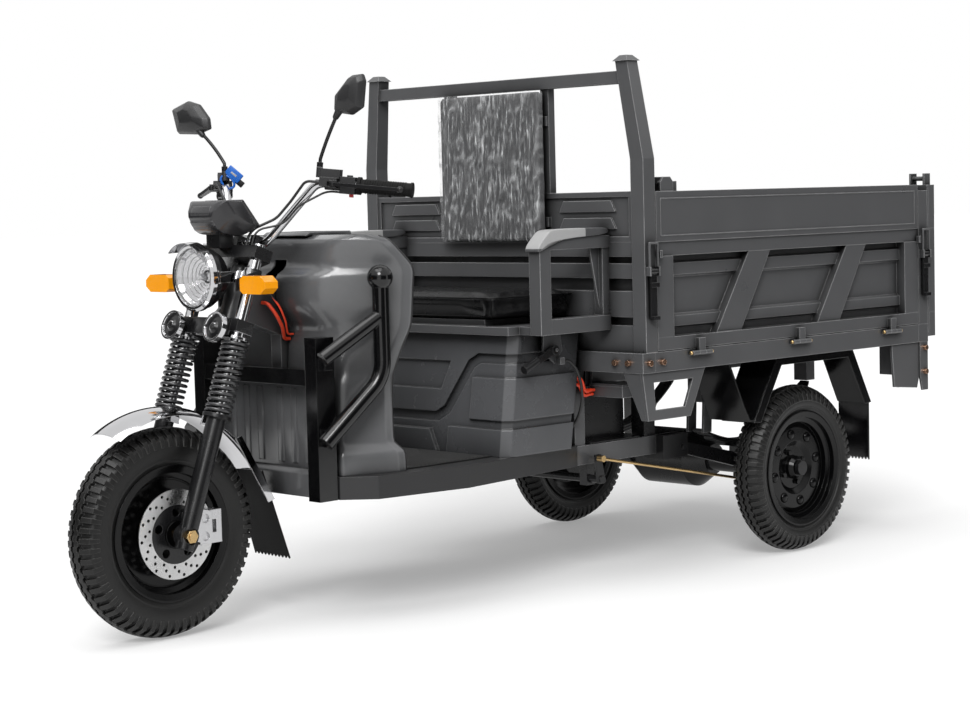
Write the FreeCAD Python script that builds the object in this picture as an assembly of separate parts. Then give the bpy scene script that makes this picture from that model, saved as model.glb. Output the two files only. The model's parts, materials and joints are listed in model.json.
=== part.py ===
import FreeCAD, Part
import math
import os
from FreeCAD import Vector as V

# Cargo tricycle, millimetres. The plan is drawn with X measured rearward from the front axle, Y to the
# rider's right and Z up from the ground, then every piece is moved so that the middle of the machine's
# footprint is the origin.

# Wheels
WHEELBASE = 1922.0
TRACK_HALF = 450.0
FRONT_TYRE_R = 258.0
FRONT_TYRE_W = 97.0
REAR_TYRE_R = 242.0
REAR_TYRE_W = 90.0
RIM_SEAT_R = 152.0
RIM_LIP = 16.0
RIM_WALL = 4.0
RIM_INSET = 7.5
DISC_R = 110.0
DISC_BAND = 38.0
DISC_T = 4.0
DISC_HOLES = 30
AXLE_R = 10.0
HUB_R = 34.0
HUB_HALF = 66.0
STUB_R = 16.0

# Fork and steering
RAKE = 20.0
FORK_HALF = 102.0
LEG_R = 23.0
LUG_IN = 20.0
LUG_OUT = 12.0
NUT_R = 17.0
SPACER_R = 15.0
STANCHION_R = 16.0
STEER_BACK = 40.0
SPRING_LOW = 302.0
SPRING_HIGH = 489.0
SPRING_OD = 69.0
SPRING_WIRE = 8.6
SPRING_TURNS = 11
SEAT_R = 36.0
YOKE_LOW = 508.0
YOKE_HIGH = 695.0
YOKE_T = 31.0
YOKE_FRONT = 26.0
STEM_R = 13.0
HEAD_TUBE_R = 26.0
FORK_DIVE = 60.0

# Handlebar
BAR_R = 11.0
GRIP_R = 17.0
GRIP_T = 104.0
SWITCH_T = 62.0
LEVER_PIN_R = 4.0
MIRROR_SEAT = 38.0
MIRROR_LEFT_Z = 1302.0
MIRROR_RIGHT_Z = 1276.0
MIRROR_RIGHT_TURN = 38.0
HOSE_R = 3.4
LEAD_R = 2.6
POWER_LEAD_R = 4.5
BAR_BEND = 42.0
CLAMP_Y = 45.0
PERCH = V(372, 185, 1098)
BAR_END = V(510, 375, 1073)

# Lights
LAMP_Z = 873.0
LAMP_R = 82.0
LAMP_FRONT = 118.0
HORN_R = 37.5
HORN_BACK = 31.0
DASH_HALF = 76.0

# Cab
DECK_Z = 372.0
DECK_BOTTOM = 315.0
DECK_REAR = 1164.0
SHEET = 4.0
RAIL_OUT = 296.0
RAIL_W = 50.0
RAIL_END = 1494.0
COLUMN_X = 374.0
COLUMN_W = 48.0
NECK_W = 40.0
BUMPER_X = 297.0
BUMPER_D = 58.0
BUMPER_OUT = 248.0
BUMPER_W = 43.0
BUMPER_TOP = 719.0
CRASH_R = 21.0
CRASH_Y = 272.0
BALL_R = 32.0
FAIRING_WALL = 6.0

# Seat
SEAT_X = 862.0
SEAT_HALF = 326.0
SEAT_SHELF = 690.0
SHELF_T = 22.0
RISER_H = 16.0
CUSHION_T = 68.0
CUSHION_X = 882.0
CUSHION_L = 292.0
CUSHION_HALF = 266.0
PAD_X = 1146.0
PAD_T = 28.0
PAD_RISE = 130.0
PAD_H = 412.0
PAD_HALF = 198.0
ARM_Y = 400.0
ARM_TUBE = 40.0
ARM_RISE = 260.0
ARM_FRONT = 912.0
ARM_NOSE = 40.0
ARM_UPRIGHT = 26.0
CUSHION_FLARE = 36.0

# Cargo bed
BED_FRONT = 1161.0
BED_REAR = 2480.0
BED_HALF = 547.0
BED_Z = 631.0
BEAM_H = 54.0
BEAM_W = 50.0
POST = 45.0
POST_X = 1176.0
POST_IN = 37.0
POST_AHEAD = 14.0
POST_OVER = 60.0
BEND_RISE = 215.0
PANEL_RISE = 131.0
PANEL_H = 134.0
BAR_H = 33.0
GATE_TOP = 1055.0
GATE_T = 38.0
GATE_RAIL = 133.0
GATE_LIP = 38.0
GATE_SILL = 35.0
GATE_SIDE = 66.0
GATE_GAP = 2.5
TAIL_DROP = 39.0
HINGE_OUT = 9.0
HINGE_DROP = 11.0
HINGE_R = 7.0
HINGE_PIN_R = 4.0
LATCH_SEAT = 9.0
LATCH_TOE = 12.0
LATCH_DROP = 209.0
GUARD_DROP = 127.0
SOCKET_R = 16.0
SOCKET_L = 78.0

# Rear suspension
PIVOT_X = 1576.0
PIVOT_Z = 329.0
ROD_Y = 302.0
LEAF_Y = 268.0
LEAF_W = 50.0
LEAF_T = 8.0
LEAF_FRONT = 1717.0
LEAF_REAR = 2222.0
LEAF_SEAT = 22.0
LONG_DROP = 44.0
AXLE_TUBE_R = 32.0

# Brake linkage
CROSS_X = 1233.0
CROSS_Z = 273.0
CROSS_R = 11.0

# Clearances
RUN = 0.05
FIT = 0.1
GAP = 0.4

SIN = math.sin(math.radians(RAKE))
COS = math.cos(math.radians(RAKE))
UP = V(SIN, 0, COS)
BACK = V(COS, 0, -SIN)
CUSHION_Z = SEAT_SHELF + SHELF_T + RISER_H
PAD_Z = CUSHION_Z + CUSHION_T + PAD_RISE
ARM_TOP = SEAT_SHELF + ARM_RISE
PANEL_TOP = PAD_Z + PANEL_RISE
BEND_Z = PAD_Z + BEND_RISE
POST_TOP = PAD_Z + PAD_H + POST_OVER
TAIL_BOTTOM = BED_Z - TAIL_DROP
TAIL_IN = BED_REAR + GATE_GAP
TAIL_OUT = TAIL_IN + GATE_T
FRONT_REACH = -FRONT_TYRE_R
REAR_REACH = TAIL_OUT + LATCH_SEAT + LATCH_TOE
X_MID = (FRONT_REACH + REAR_REACH) / 2

nodes = {}
anchors = {}


def box(x0, x1, y0, y1, z0, z1):
    return Part.makeBox(x1 - x0, y1 - y0, z1 - z0, V(x0, y0, z0))


def rod(p, q, r):
    return Part.makeCylinder(r, (q - p).Length, p, q - p)


def ring(p, q, outer, inner):
    return rod(p, q, outer).cut(rod(p, q, inner))


def across(x, z, y0, y1, r):
    return rod(V(x, y0, z), V(x, y1, z), r)


def prism(points, move):
    return Part.Face(Part.makePolygon(points + [points[0]])).extrude(move)


def prism_xz(points, y0, y1):
    return prism([V(x, y0, z) for x, z in points], V(0, y1 - y0, 0))


def prism_yz(points, x0, x1):
    return prism([V(x0, y, z) for y, z in points], V(x1 - x0, 0, 0))


def prism_xy(points, z0, z1):
    return prism([V(x, y, z0) for x, y in points], V(0, 0, z1 - z0))


def mirrored(shape):
    return shape.mirror(V(0, 0, 0), V(0, 1, 0))


def pair(*shapes):
    return list(shapes) + [mirrored(s) for s in shapes]


def fused(shapes):
    return shapes[0].fuse(shapes[1:]).removeSplitter() if len(shapes) > 1 else shapes[0]


def cut_all(shape, tools):
    return shape.cut(Part.makeCompound(tools))


def beam(p, q, width, depth, side):
    """A flat bar from p to q, width along side and depth across it."""
    run = q - p
    side = V(side).normalize()
    deep = run.cross(side).normalize()
    a = p - side * (width / 2) - deep * (depth / 2)
    b = a + side * width
    c = b + deep * depth
    d = a + deep * depth
    return prism([a, b, c, d], run)


def arc(p, corner, q):
    """Arc that is tangent to the lines p-corner and corner-q."""
    mid = (p + q) * 0.5
    half = (q - p).Length / 2
    rise = (corner - mid).Length
    turn = 2 * math.atan2(rise, half)
    peak = mid + (corner - mid).normalize() * (half * math.tan(turn / 4))
    return Part.Arc(p, peak, q).toShape()


def bent_wire(points, bend):
    """Straight runs joined by tangent arcs, and the length of the whole path."""
    edges = []
    start = points[0]
    for before, corner, after in zip(points, points[1:], points[2:]):
        a = before - corner
        b = after - corner
        reach = bend / math.tan(a.getAngle(b) / 2)
        reach = min(reach, 0.48 * a.Length, 0.48 * b.Length)
        p = corner + V(a).normalize() * reach
        q = corner + V(b).normalize() * reach
        if (p - start).Length > 0.001:
            edges.append(Part.LineSegment(start, p).toShape())
        edges.append(arc(p, corner, q))
        start = q
    edges.append(Part.LineSegment(start, points[-1]).toShape())
    return Part.Wire(edges), sum(e.Length for e in edges)


def bent_rod(points, bend, r, name=None):
    path, length = bent_wire(points, bend)
    profile = Part.Wire(Part.makeCircle(r, points[0], points[1] - points[0]))
    solid = path.makePipeShell([profile], True, False)
    if name:
        radii = [round(e.Curve.Radius, 1) for e in path.Edges if hasattr(e.Curve, "Radius")]
        print(name, "radii", radii, "volume ratio", round(solid.Volume / (math.pi * r * r * length), 4))
    return solid


def rounded_outline(half_x, half_y, corner, place):
    """Rounded rectangle; place turns plan coordinates into a point."""
    k = corner * (1 - math.sqrt(0.5))
    edges = []
    quarter = []
    for sx, sy in ((1, 1), (-1, 1), (-1, -1), (1, -1)):
        side = V(sx * half_x, sy * (half_y - corner), 0)
        diag = V(sx * (half_x - k), sy * (half_y - k), 0)
        end = V(sx * (half_x - corner), sy * half_y, 0)
        quarter.append((side, diag, end) if sx * sy > 0 else (end, diag, side))
    for i in range(4):
        a, m, b = [place(p.x, p.y) for p in quarter[i]]
        edges.append(Part.Arc(a, m, b).toShape())
        nxt = quarter[(i + 1) % 4][0]
        edges.append(Part.LineSegment(b, place(nxt.x, nxt.y)).toShape())
    return Part.Wire(edges)


def along(s, y=0.0, back=0.0):
    """Point s up the fork leg from the axle, y across and back behind the plane of the legs."""
    return V(0, y, FRONT_TYRE_R) + UP * s + BACK * back


def fork_prism(points, s0, s1):
    return prism([along(s0, y, back) for back, y in points], UP * (s1 - s0))


def turned(profile, centre, angle=360.0):
    """Solid of revolution about a wheel axle, from (radius, y) points."""
    points = [centre + V(r, y, 0) for r, y in profile]
    face = Part.Face(Part.makePolygon(points + [points[0]]))
    return face.revolve(centre, V(0, 1, 0), angle)


# Wheels

def tyre(radius, width, centre):
    half = width / 2
    seat = RIM_SEAT_R + FIT
    bead = half - RIM_INSET - FIT
    lip = RIM_SEAT_R + RIM_LIP + 2
    inner = bead - 12

    def at(r, y):
        return centre + V(r, y, 0)
    shoulder = radius - 18
    edge = half - 4
    belly = (lip + shoulder) / 2
    edges = [
        Part.LineSegment(at(seat, inner), at(seat, bead)).toShape(),
        Part.LineSegment(at(seat, bead), at(lip, bead)).toShape(),
        Part.Arc(at(lip, bead), at(belly, half), at(shoulder, edge)).toShape(),
        Part.Arc(at(shoulder, edge), at(radius, 0), at(shoulder, -edge)).toShape(),
        Part.Arc(at(shoulder, -edge), at(belly, -half), at(lip, -bead)).toShape(),
        Part.LineSegment(at(lip, -bead), at(seat, -bead)).toShape(),
        Part.LineSegment(at(seat, -bead), at(seat, -inner)).toShape(),
    ]
    cavity = [(seat, -inner), (seat + 16, -inner), (belly, 9 - half), (shoulder - 4, 12 - half),
              (radius - 13, 0), (shoulder - 4, half - 12), (belly, half - 9), (seat + 16, inner), (seat, inner)]
    for (r0, y0), (r1, y1) in zip(cavity, cavity[1:]):
        edges.append(Part.LineSegment(at(r0, y0), at(r1, y1)).toShape())
    return Part.Face(Part.Wire(edges)).revolve(centre, V(0, 1, 0), 360)


def rim_barrel(width, centre):
    inset = width / 2 - RIM_INSET
    lip = RIM_SEAT_R + RIM_LIP
    well = RIM_SEAT_R - 14
    t = RIM_WALL
    outer = [(lip, inset + t), (lip, inset), (RIM_SEAT_R, inset), (RIM_SEAT_R, 22), (well, 17)]
    inner = [(lip - t, inset + t), (RIM_SEAT_R - t, inset + t - 2), (RIM_SEAT_R - t, 24), (well - t, 19)]
    loop = outer + [(r, -y) for r, y in reversed(outer)]
    loop += [(r, -y) for r, y in inner] + list(reversed(inner))
    return turned(loop, centre)


def bolt_circle(centre, count, pitch_r, hole_r, y0, y1, first=0.0):
    tools = []
    for i in range(count):
        a = first + 2 * math.pi * i / count
        p = centre + V(pitch_r * math.cos(a), 0, pitch_r * math.sin(a))
        tools.append(rod(p + V(0, y0, 0), p + V(0, y1, 0), hole_r))
    return tools


def front_wheel():
    c = V(0, 0, FRONT_TYRE_R)
    nodes["front_tyre"] = [tyre(FRONT_TYRE_R, FRONT_TYRE_W, c)]
    well = RIM_SEAT_R - 14 - RIM_WALL
    dish = turned([(32, 4), (32, 10), (70, 10), (90, -6), (well + 2, -6), (well + 2, -12), (87, -12), (67, 4)], c)
    dish = cut_all(dish, bolt_circle(c, 10, 112, 10, -30, 30))
    hub = turned([(AXLE_R + RUN, -HUB_HALF), (HUB_R, -HUB_HALF), (HUB_R, HUB_HALF - 8), (HUB_R - 10, HUB_HALF),
                  (AXLE_R + RUN, HUB_HALF)], c)
    nodes["front_rim"] = [fused([rim_barrel(FRONT_TYRE_W, c), dish, hub])]
    y0 = -60.0
    carrier_r = DISC_R - DISC_BAND
    rotor = ring(c + V(0, y0, 0), c + V(0, y0 + DISC_T, 0), DISC_R, carrier_r)
    holes = []
    rows = 3
    for row in range(rows):
        pitch = carrier_r + DISC_BAND * (row + 0.7) / (rows + 0.4)
        holes += bolt_circle(c, DISC_HOLES // 2, pitch, 4.0, y0 - 1, y0 + DISC_T + 1, row * 0.14)
    rotor = cut_all(rotor, holes)
    spider = ring(c + V(0, y0, 0), c + V(0, y0 + DISC_T, 0), carrier_r, 34.0)
    spider = cut_all(spider, bolt_circle(c, 5, 54, 11, y0 - 1, y0 + DISC_T + 1, 0.3))
    nodes["brake_disc"] = [rotor, spider]
    anchors["front_wheel"] = c


def rear_wheel(side):
    sign = -1 if side == "left" else 1
    c = V(WHEELBASE, sign * TRACK_HALF, REAR_TYRE_R)
    nodes["rear_tyre_" + side] = [tyre(REAR_TYRE_R, REAR_TYRE_W, c)]
    well = RIM_SEAT_R - 14 - RIM_WALL

    def out(points):
        return [(r, sign * y) for r, y in points]
    dish = turned(out([(30, -8), (30, -2), (62, -2), (78, 10), (118, 10), (well + 2, 2), (well + 2, -4), (116, 4),
                       (80, 4), (65, -8)]), c)
    dish = cut_all(dish, bolt_circle(c, 8, 100, 11, -40, 40, 0.2))
    hub = turned(out([(STUB_R + RUN, -46), (34, -46), (34, 10), (26, 22), (STUB_R + RUN, 22)]), c)
    drum = turned(out([(34, -14), (92, -14), (92, -44), (86, -44), (86, -20), (34, -20)]), c)
    nuts = [rod(V(p.CenterOfMass), V(p.CenterOfMass) + V(0, sign * 9, 0), 7.5)
            for p in bolt_circle(c, 4, 48, 3, sign * -2.1, sign * -1.9, 0.4)]
    nodes["rear_rim_" + side] = [fused([rim_barrel(REAR_TYRE_W, c), dish, hub, drum] + nuts)]
    anchors["rear_wheel_" + side] = c


# Sprung front end

def fork_lower():
    legs = []
    for y in (-FORK_HALF, FORK_HALF):
        sign = 1 if y > 0 else -1
        leg = rod(along(-34, y), along(SPRING_LOW - 6, y), LEG_R)
        seat = rod(along(SPRING_LOW - 10, y), along(SPRING_LOW - GAP, y), SEAT_R)
        lug = across(0, FRONT_TYRE_R, sign * (FORK_HALF - LUG_IN), sign * (FORK_HALF + LUG_OUT), LEG_R + 4)
        bore = rod(along(140 - FORK_DIVE - 8, y), along(SPRING_LOW + 1, y), STANCHION_R + RUN)
        hole = across(0, FRONT_TYRE_R, y - 60, y + 60, AXLE_R + FIT)
        faces = [across(0, FRONT_TYRE_R, sign * (FORK_HALF + LUG_OUT), sign * (FORK_HALF + 60), NUT_R + 3),
                 across(0, FRONT_TYRE_R, sign * (FORK_HALF - 60), sign * (FORK_HALF - LUG_IN), SPACER_R + 3)]
        legs.append(cut_all(fused([leg, seat, lug]).cut(bore).cut(hole), faces))
    nodes["fork_legs"] = legs
    tip = FORK_HALF + LUG_OUT + 14
    spindle = across(0, FRONT_TYRE_R, -tip, tip, AXLE_R)
    extras = []
    for sign in (-1, 1):
        nut = prism([V(0, sign * (FORK_HALF + LUG_OUT), FRONT_TYRE_R) + V(NUT_R * math.cos(a), 0, NUT_R * math.sin(a))
                     for a in [math.pi / 3 * i for i in range(6)]], V(0, sign * 11, 0))
        spacer = across(0, FRONT_TYRE_R, sign * (HUB_HALF + GAP), sign * (FORK_HALF - LUG_IN), SPACER_R)
        extras += [nut, spacer]
    nodes["front_axle"] = [fused([spindle] + extras)]
    caliper()
    fender()
    anchors["fork"] = along(0)
    print("dir fork", UP.x, UP.y, UP.z)


def caliper():
    y_disc = -60.0
    body = box(58, 124, y_disc - 16, y_disc + DISC_T + 12, 226, 308)
    slot = box(50, 118, y_disc - 3, y_disc + DISC_T + 3, 200, 330)
    window = box(80, 108, y_disc - 20, y_disc + 20, 252, 284)
    bosses = [across(72, z, y_disc - 22, y_disc - 16, 11) for z in (246, 290)]
    body = fused([body] + bosses).cut(slot).cut(window)
    inner = FORK_HALF - 20
    strap = prism_xz([(2, 280), (6, 312), (70, 312), (92, 306), (92, 228), (70, 228), (20, 244)], -inner, y_disc - 16)
    strap = cut_all(strap, [across(0, FRONT_TYRE_R, -inner - 1, y_disc, LEG_R + 6)]).cut(nodes["fork_legs"][0])
    nodes["brake_caliper"] = [body.cut(strap), cut_all(strap, bosses)]


def fender():
    """Chromed guard over the front tyre, stayed to the fork legs, with a rubber flap behind."""
    radius = FRONT_TYRE_R + 34
    half = FORK_HALF - LEG_R - 15
    drop = 16.0
    centre = V(0, 0, FRONT_TYRE_R + 12)
    front = math.radians(-34)
    sweep = 101.0

    def shell(grow):
        p = [V(0, -half - grow * 0.3, radius - drop), V(0, 0, radius + grow), V(0, half + grow * 0.3, radius - drop)]
        return p
    low = [centre + p for p in shell(0)]
    high = [centre + p for p in shell(3)]
    face = Part.Face(Part.Wire([
        Part.Arc(low[0], low[1], low[2]).toShape(), Part.LineSegment(low[2], high[2]).toShape(),
        Part.Arc(high[2], high[1], high[0]).toShape(), Part.LineSegment(high[0], low[0]).toShape()]))
    face.rotate(centre, V(0, 1, 0), math.degrees(front))
    guard = face.revolve(centre, V(0, 1, 0), sweep)
    s_stay = SPRING_LOW - 30
    stays = []
    for sign in (-1, 1):
        tab = fork_prism([(-13, sign * (half - 4)), (13, sign * (half - 4)), (13, sign * (FORK_HALF - LEG_R + 3)),
                          (-13, sign * (FORK_HALF - LEG_R + 3))], s_stay, s_stay + 5)
        edge = fork_prism([(-13, sign * (half - 2)), (13, sign * (half - 2)), (13, sign * (half + 3)), (-13, sign * (half + 3))],
                          s_stay, s_stay + 26)
        core = rod(along(0, sign * FORK_HALF), along(SPRING_LOW, sign * FORK_HALF), LEG_R)
        stays.append(cut_all(fused([tab, edge]), [core]).cut(nodes["fork_legs"][0 if sign < 0 else 1]))
    end = front + math.radians(sweep)
    top = centre + V(math.sin(end) * (radius - 4), 0, math.cos(end) * (radius - 4))
    foot = V(338, 0, 152)
    down = foot - top
    side = V(0, 1, 0)
    normal = down.cross(side).normalize()
    teeth = 10
    w = half - 3
    outline = [top - side * w, top + side * w]
    for i in range(teeth * 2 + 1):
        y = w + 8 - (w + 8) * i / teeth
        outline.append(foot + side * y - V(down).normalize() * (12 if i % 2 else 0))
    flap = prism(outline, normal * 5)
    flap = flap.cut(guard)
    strips = []
    for sign in (-1, 1):
        a = centre + V(math.sin(end - 0.42) * (radius - 10), sign * (half + 2.5), math.cos(end - 0.42) * (radius - 10))
        b = top + down * 0.33 + V(0, sign * (half + 2.5), 0)
        strips.append(beam(a, b, 20, 3, down.cross(side)))
    nodes["front_fender"] = [cut_all(guard, stays + strips)] + stays
    nodes["front_fender"] += [cut_all(flap, strips)] + strips


# Steering

def helix_path(axis_at, radius, s0, s1, turns, start):
    """Biarcs of a quarter turn through a helix, with a short straight run at both ends."""
    wire_r = SPRING_WIRE / 2
    low = s0 + wire_r
    high = s1 - wire_r
    closed = 1.0
    total = turns + 2 * closed
    tight = SPRING_WIRE + 0.7
    open_pitch = (high - low - 2 * closed * tight) / turns

    def height(t):
        if t < closed:
            return low + tight * t
        if t > total - closed:
            return high - tight * (total - t)
        return low + tight * closed + open_pitch * (t - closed)

    def point(t):
        a = start + 2 * math.pi * t
        return axis_at(radius * math.cos(a), radius * math.sin(a), height(t))

    def tangent(t):
        d = 1e-4
        return (point(t + d) - point(t - d)).normalize()
    count = int(round(total * 4))
    stations = [total * i / count for i in range(count + 1)]
    edges = []
    t0 = tangent(0.001)
    first = point(0)
    edges.append(Part.LineSegment(first - t0 * SPRING_WIRE, first).toShape())
    for a, b in zip(stations, stations[1:]):
        p, q = point(a), point(b)
        u, w = tangent(max(a, 0.001)), tangent(min(b, total - 0.001))
        v = q - p
        t = u + w
        k = 2 * (1 - u.dot(w))
        d = (-v.dot(t) + math.sqrt(v.dot(t) ** 2 + k * v.dot(v))) / k
        c0 = p + u * d
        c1 = q - w * d
        joint = (c0 + c1) * 0.5
        edges.append(arc(p, c0, joint))
        edges.append(arc(joint, c1, q))
    last = point(total)
    t1 = tangent(total - 0.001)
    edges.append(Part.LineSegment(last, last + t1 * SPRING_WIRE).toShape())
    fine = [point(total * i / (count * 8)) for i in range(count * 8 + 1)]
    skip = 20
    least = min((a - b).Length for i, a in enumerate(fine[::2]) for b in fine[::2][i + skip // 2:])
    print("spring least gap to itself", round(least - SPRING_WIRE, 2))
    return Part.Wire(edges), first - t0 * SPRING_WIRE, t0


def fork_springs():
    springs = []
    for y in (-FORK_HALF, FORK_HALF):
        def axis_at(a, b, s):
            return along(s, y + b, a)
        radius = (SPRING_OD - SPRING_WIRE) / 2
        path, start, tangent = helix_path(axis_at, radius, SPRING_LOW, SPRING_HIGH - GAP, SPRING_TURNS, 0.6)
        profile = Part.Wire(Part.makeCircle(SPRING_WIRE / 2, start, tangent))
        coil = path.makePipeShell([profile], True, False)
        ratio = coil.Volume / (math.pi * SPRING_WIRE ** 2 / 4 * path.Length)
        print("spring volume ratio", round(ratio, 4), coil.isValid())
        springs.append(coil)
    nodes["fork_springs"] = springs


def steering_stem():
    stem = rod(along(YOKE_LOW, 0, STEER_BACK), along(YOKE_HIGH + YOKE_T, 0, STEER_BACK), STEM_R)
    reach = FORK_HALF + STANCHION_R + 8
    plan = [(-YOKE_FRONT, -reach), (26, -reach), (STEER_BACK + 26, -36), (STEER_BACK + 26, 36), (26, reach),
            (-YOKE_FRONT, reach)]
    low = fork_prism(plan, YOKE_LOW, YOKE_LOW + YOKE_T)
    high = fork_prism(plan, YOKE_HIGH, YOKE_HIGH + YOKE_T)
    bores = [rod(along(YOKE_LOW - 1, y), along(YOKE_HIGH + YOKE_T + 20, y), STANCHION_R + FIT)
             for y in (-FORK_HALF, FORK_HALF)]
    bar = bar_centre()
    clamps = []
    for sign in (-1, 1):
        block = fork_prism([(STEER_BACK - 14, sign * 24), (STEER_BACK + 22, sign * 24), (STEER_BACK + 22, sign * CLAMP_Y),
                            (STEER_BACK - 14, sign * CLAMP_Y)], YOKE_HIGH + YOKE_T, YOKE_HIGH + YOKE_T + 44)
        clamps.append(block.cut(rod(bar - V(0, 90, 0), bar + V(0, 90, 0), BAR_R + FIT)))
    core = cut_all(fused([low, stem, high] + clamps), bores)
    rings = []
    for y in (-FORK_HALF, FORK_HALF):
        cup = rod(along(SPRING_HIGH, y), along(SPRING_HIGH + 7, y), SEAT_R)
        boot = rod(along(SPRING_HIGH + 7, y), along(YOKE_LOW, y), STANCHION_R + 6)
        hole = rod(along(SPRING_HIGH - 1, y), along(YOKE_LOW + 1, y), STANCHION_R + FIT)
        ahead = fork_prism([(-SEAT_R - 5, y - 60), (-HORN_BACK, y - 60), (-HORN_BACK, y + 60), (-SEAT_R - 5, y + 60)],
                           SPRING_HIGH - 1, YOKE_LOW)
        rings.append(fused([cup, boot]).cut(hole).cut(ahead))
    nodes["steering_stem"] = [core] + rings
    nodes["fork_stanchions"] = [rod(along(140, y), along(YOKE_HIGH + YOKE_T + 8, y), STANCHION_R)
                                for y in (-FORK_HALF, FORK_HALF)]
    anchors["steering"] = along(YOKE_LOW, 0, STEER_BACK)


def bar_centre():
    return along(YOKE_HIGH + YOKE_T + 25, 0, STEER_BACK + 4)


def flip(p, sign):
    return V(p.x, sign * p.y, p.z)


def bar_axis(sign):
    perch = flip(PERCH, sign)
    end = flip(BAR_END, sign)
    return perch, (end - perch).normalize(), (end - perch).Length


def handlebar():
    mid = bar_centre()
    inner = V(0, CLAMP_Y + BAR_BEND * 0.5, 0)
    points = [flip(BAR_END, -1), flip(PERCH, -1), mid - inner, mid + inner, flip(PERCH, 1), flip(BAR_END, 1)]
    nodes["handlebar"] = [bent_rod(points, BAR_BEND, BAR_R, "handlebar")]
    for sign, side in ((-1, "left"), (1, "right")):
        controls(sign, side)


def bar_frame(sign):
    """Perch point, outward direction of the grip, and the directions ahead of it and above it."""
    perch, w, length = bar_axis(sign)
    ahead = V(-abs(w.y), sign * w.x, 0)
    ahead = (ahead - w * ahead.dot(w)).normalize()
    up = w.cross(ahead).normalize()
    if up.z < 0:
        up = up * -1
    return perch, w, length, ahead, up


def controls(sign, side):
    """Switch box, lever perch, lever, grip and mirror at one end of the bar."""
    perch, w, length, ahead, up = bar_frame(sign)
    bore = rod(perch - w * 30, perch + w * (length + 20), BAR_R + FIT)

    def block(t0, t1, a0, a1, u0, u1):
        base = perch + w * t0
        pts = [base + ahead * a + up * u for a, u in ((a0, u0), (a1, u0), (a1, u1), (a0, u1))]
        return prism(pts, w * (t1 - t0))
    switch = block(SWITCH_T, GRIP_T - 4, -20, 19, -22, 20).cut(bore)
    clamp = rod(perch + w * 22, perch + w * (SWITCH_T - 2), BAR_R + 5)
    tank = block(10, SWITCH_T - 2, -12, 18, BAR_R + 2, 36)
    cylinder = block(12, SWITCH_T - 6, 10, 30, -7.5, BAR_R + 4)
    banjo = rod(perch + w * 12 + ahead * 22 + up * 2, perch + w * 2 + ahead * 22 + up * 2, 6)
    arm = block(38, SWITCH_T - 4, 12, 40, -9, 9)
    pivot = perch + w * 48 + ahead * 34
    slot = rod(pivot - up * 5.4, pivot + up * 5.4, 17)
    slot = fused([slot, prism([pivot + ahead * a + w * t - up * 5.4 for a, t in
                               ((-11, 0), (25, 0), (25, 60), (-11, 60))], up * 10.8)])
    boss = rod(perch + w * 4 + up * (BAR_R + 2), perch + w * 4 + up * MIRROR_SEAT, 8)
    pin = rod(pivot - up * 8, pivot + up * 8, LEVER_PIN_R)
    bracket = fused([clamp, arm, tank, cylinder, banjo, boss]).cut(bore).cut(slot)
    bracket = fused([bracket, pin])
    nodes.setdefault("switch_housings", []).extend([switch, bracket])
    tube = ring(perch + w * GRIP_T, perch + w * (length + 1), GRIP_R, BAR_R + RUN)
    collar = ring(perch + w * GRIP_T, perch + w * (GRIP_T + 8), GRIP_R + 5, BAR_R + RUN)
    cap = rod(perch + w * (length + 1), perch + w * (length + 6), GRIP_R + 2)
    grip_name = "left_grip" if side == "left" else "throttle_grip"
    nodes[grip_name] = [fused([tube, collar, cap])]
    if side == "right":
        anchors["throttle"] = perch + w * GRIP_T
        print("dir throttle", w.x, w.y, w.z)
    tip = perch + w * (length - 14) + ahead * 62
    hub = rod(pivot - up * 5, pivot + up * 5, 10)
    blade_points = [pivot + ahead * 9 - w * 2, pivot - ahead * 7 + w * 8, tip - ahead * 6, tip + ahead * 6]
    blade = prism([p - up * 4.5 for p in blade_points], up * 9)
    ball = Part.makeSphere(8, tip)
    lever = fused([hub, blade, ball]).cut(rod(pivot - up * 20, pivot + up * 20, LEVER_PIN_R + RUN))
    nodes["brake_lever_" + side] = [lever]
    anchors["brake_lever_" + side] = pivot
    print("dir brake_lever_" + side, up.x, up.y, up.z)
    base = perch + w * 4 + up * (MIRROR_SEAT + GAP)
    head_z = MIRROR_LEFT_Z if side == "left" else MIRROR_RIGHT_Z
    neck = V(362, sign * 300, head_z - 58)
    head_mid = V(366, sign * 318, head_z)
    foot = rod(base, base + up * 12, 8)
    arm_rod = bent_rod([base, base + up * 30, neck, neck + (head_mid - neck) * 0.3], 34, 5)
    nodes["mirror_" + side] = [fused([foot, arm_rod, mirror_head(head_mid, sign, 0 if side == "left" else MIRROR_RIGHT_TURN)])]
    anchors["mirror_" + side] = base
    print("dir mirror_" + side, up.x, up.y, up.z)


def mirror_head(mid, sign, turn):
    outline = [(-58, 8), (-38, 50), (22, 58), (56, 34), (50, -18), (6, -56), (-34, -40)]
    c = math.cos(math.radians(turn))
    n = math.sin(math.radians(turn))
    outline = [(y * c + z * n, z * c - y * n) for y, z in outline]

    def slab(scale, back):
        pts = [mid + V(back, sign * y * scale, z * scale) for y, z in outline]
        return Part.makePolygon(pts + [pts[0]])
    return Part.makeLoft([slab(0.5, -26), slab(0.86, -14), slab(1.0, 0), slab(0.97, 8)], True, True)


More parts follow.
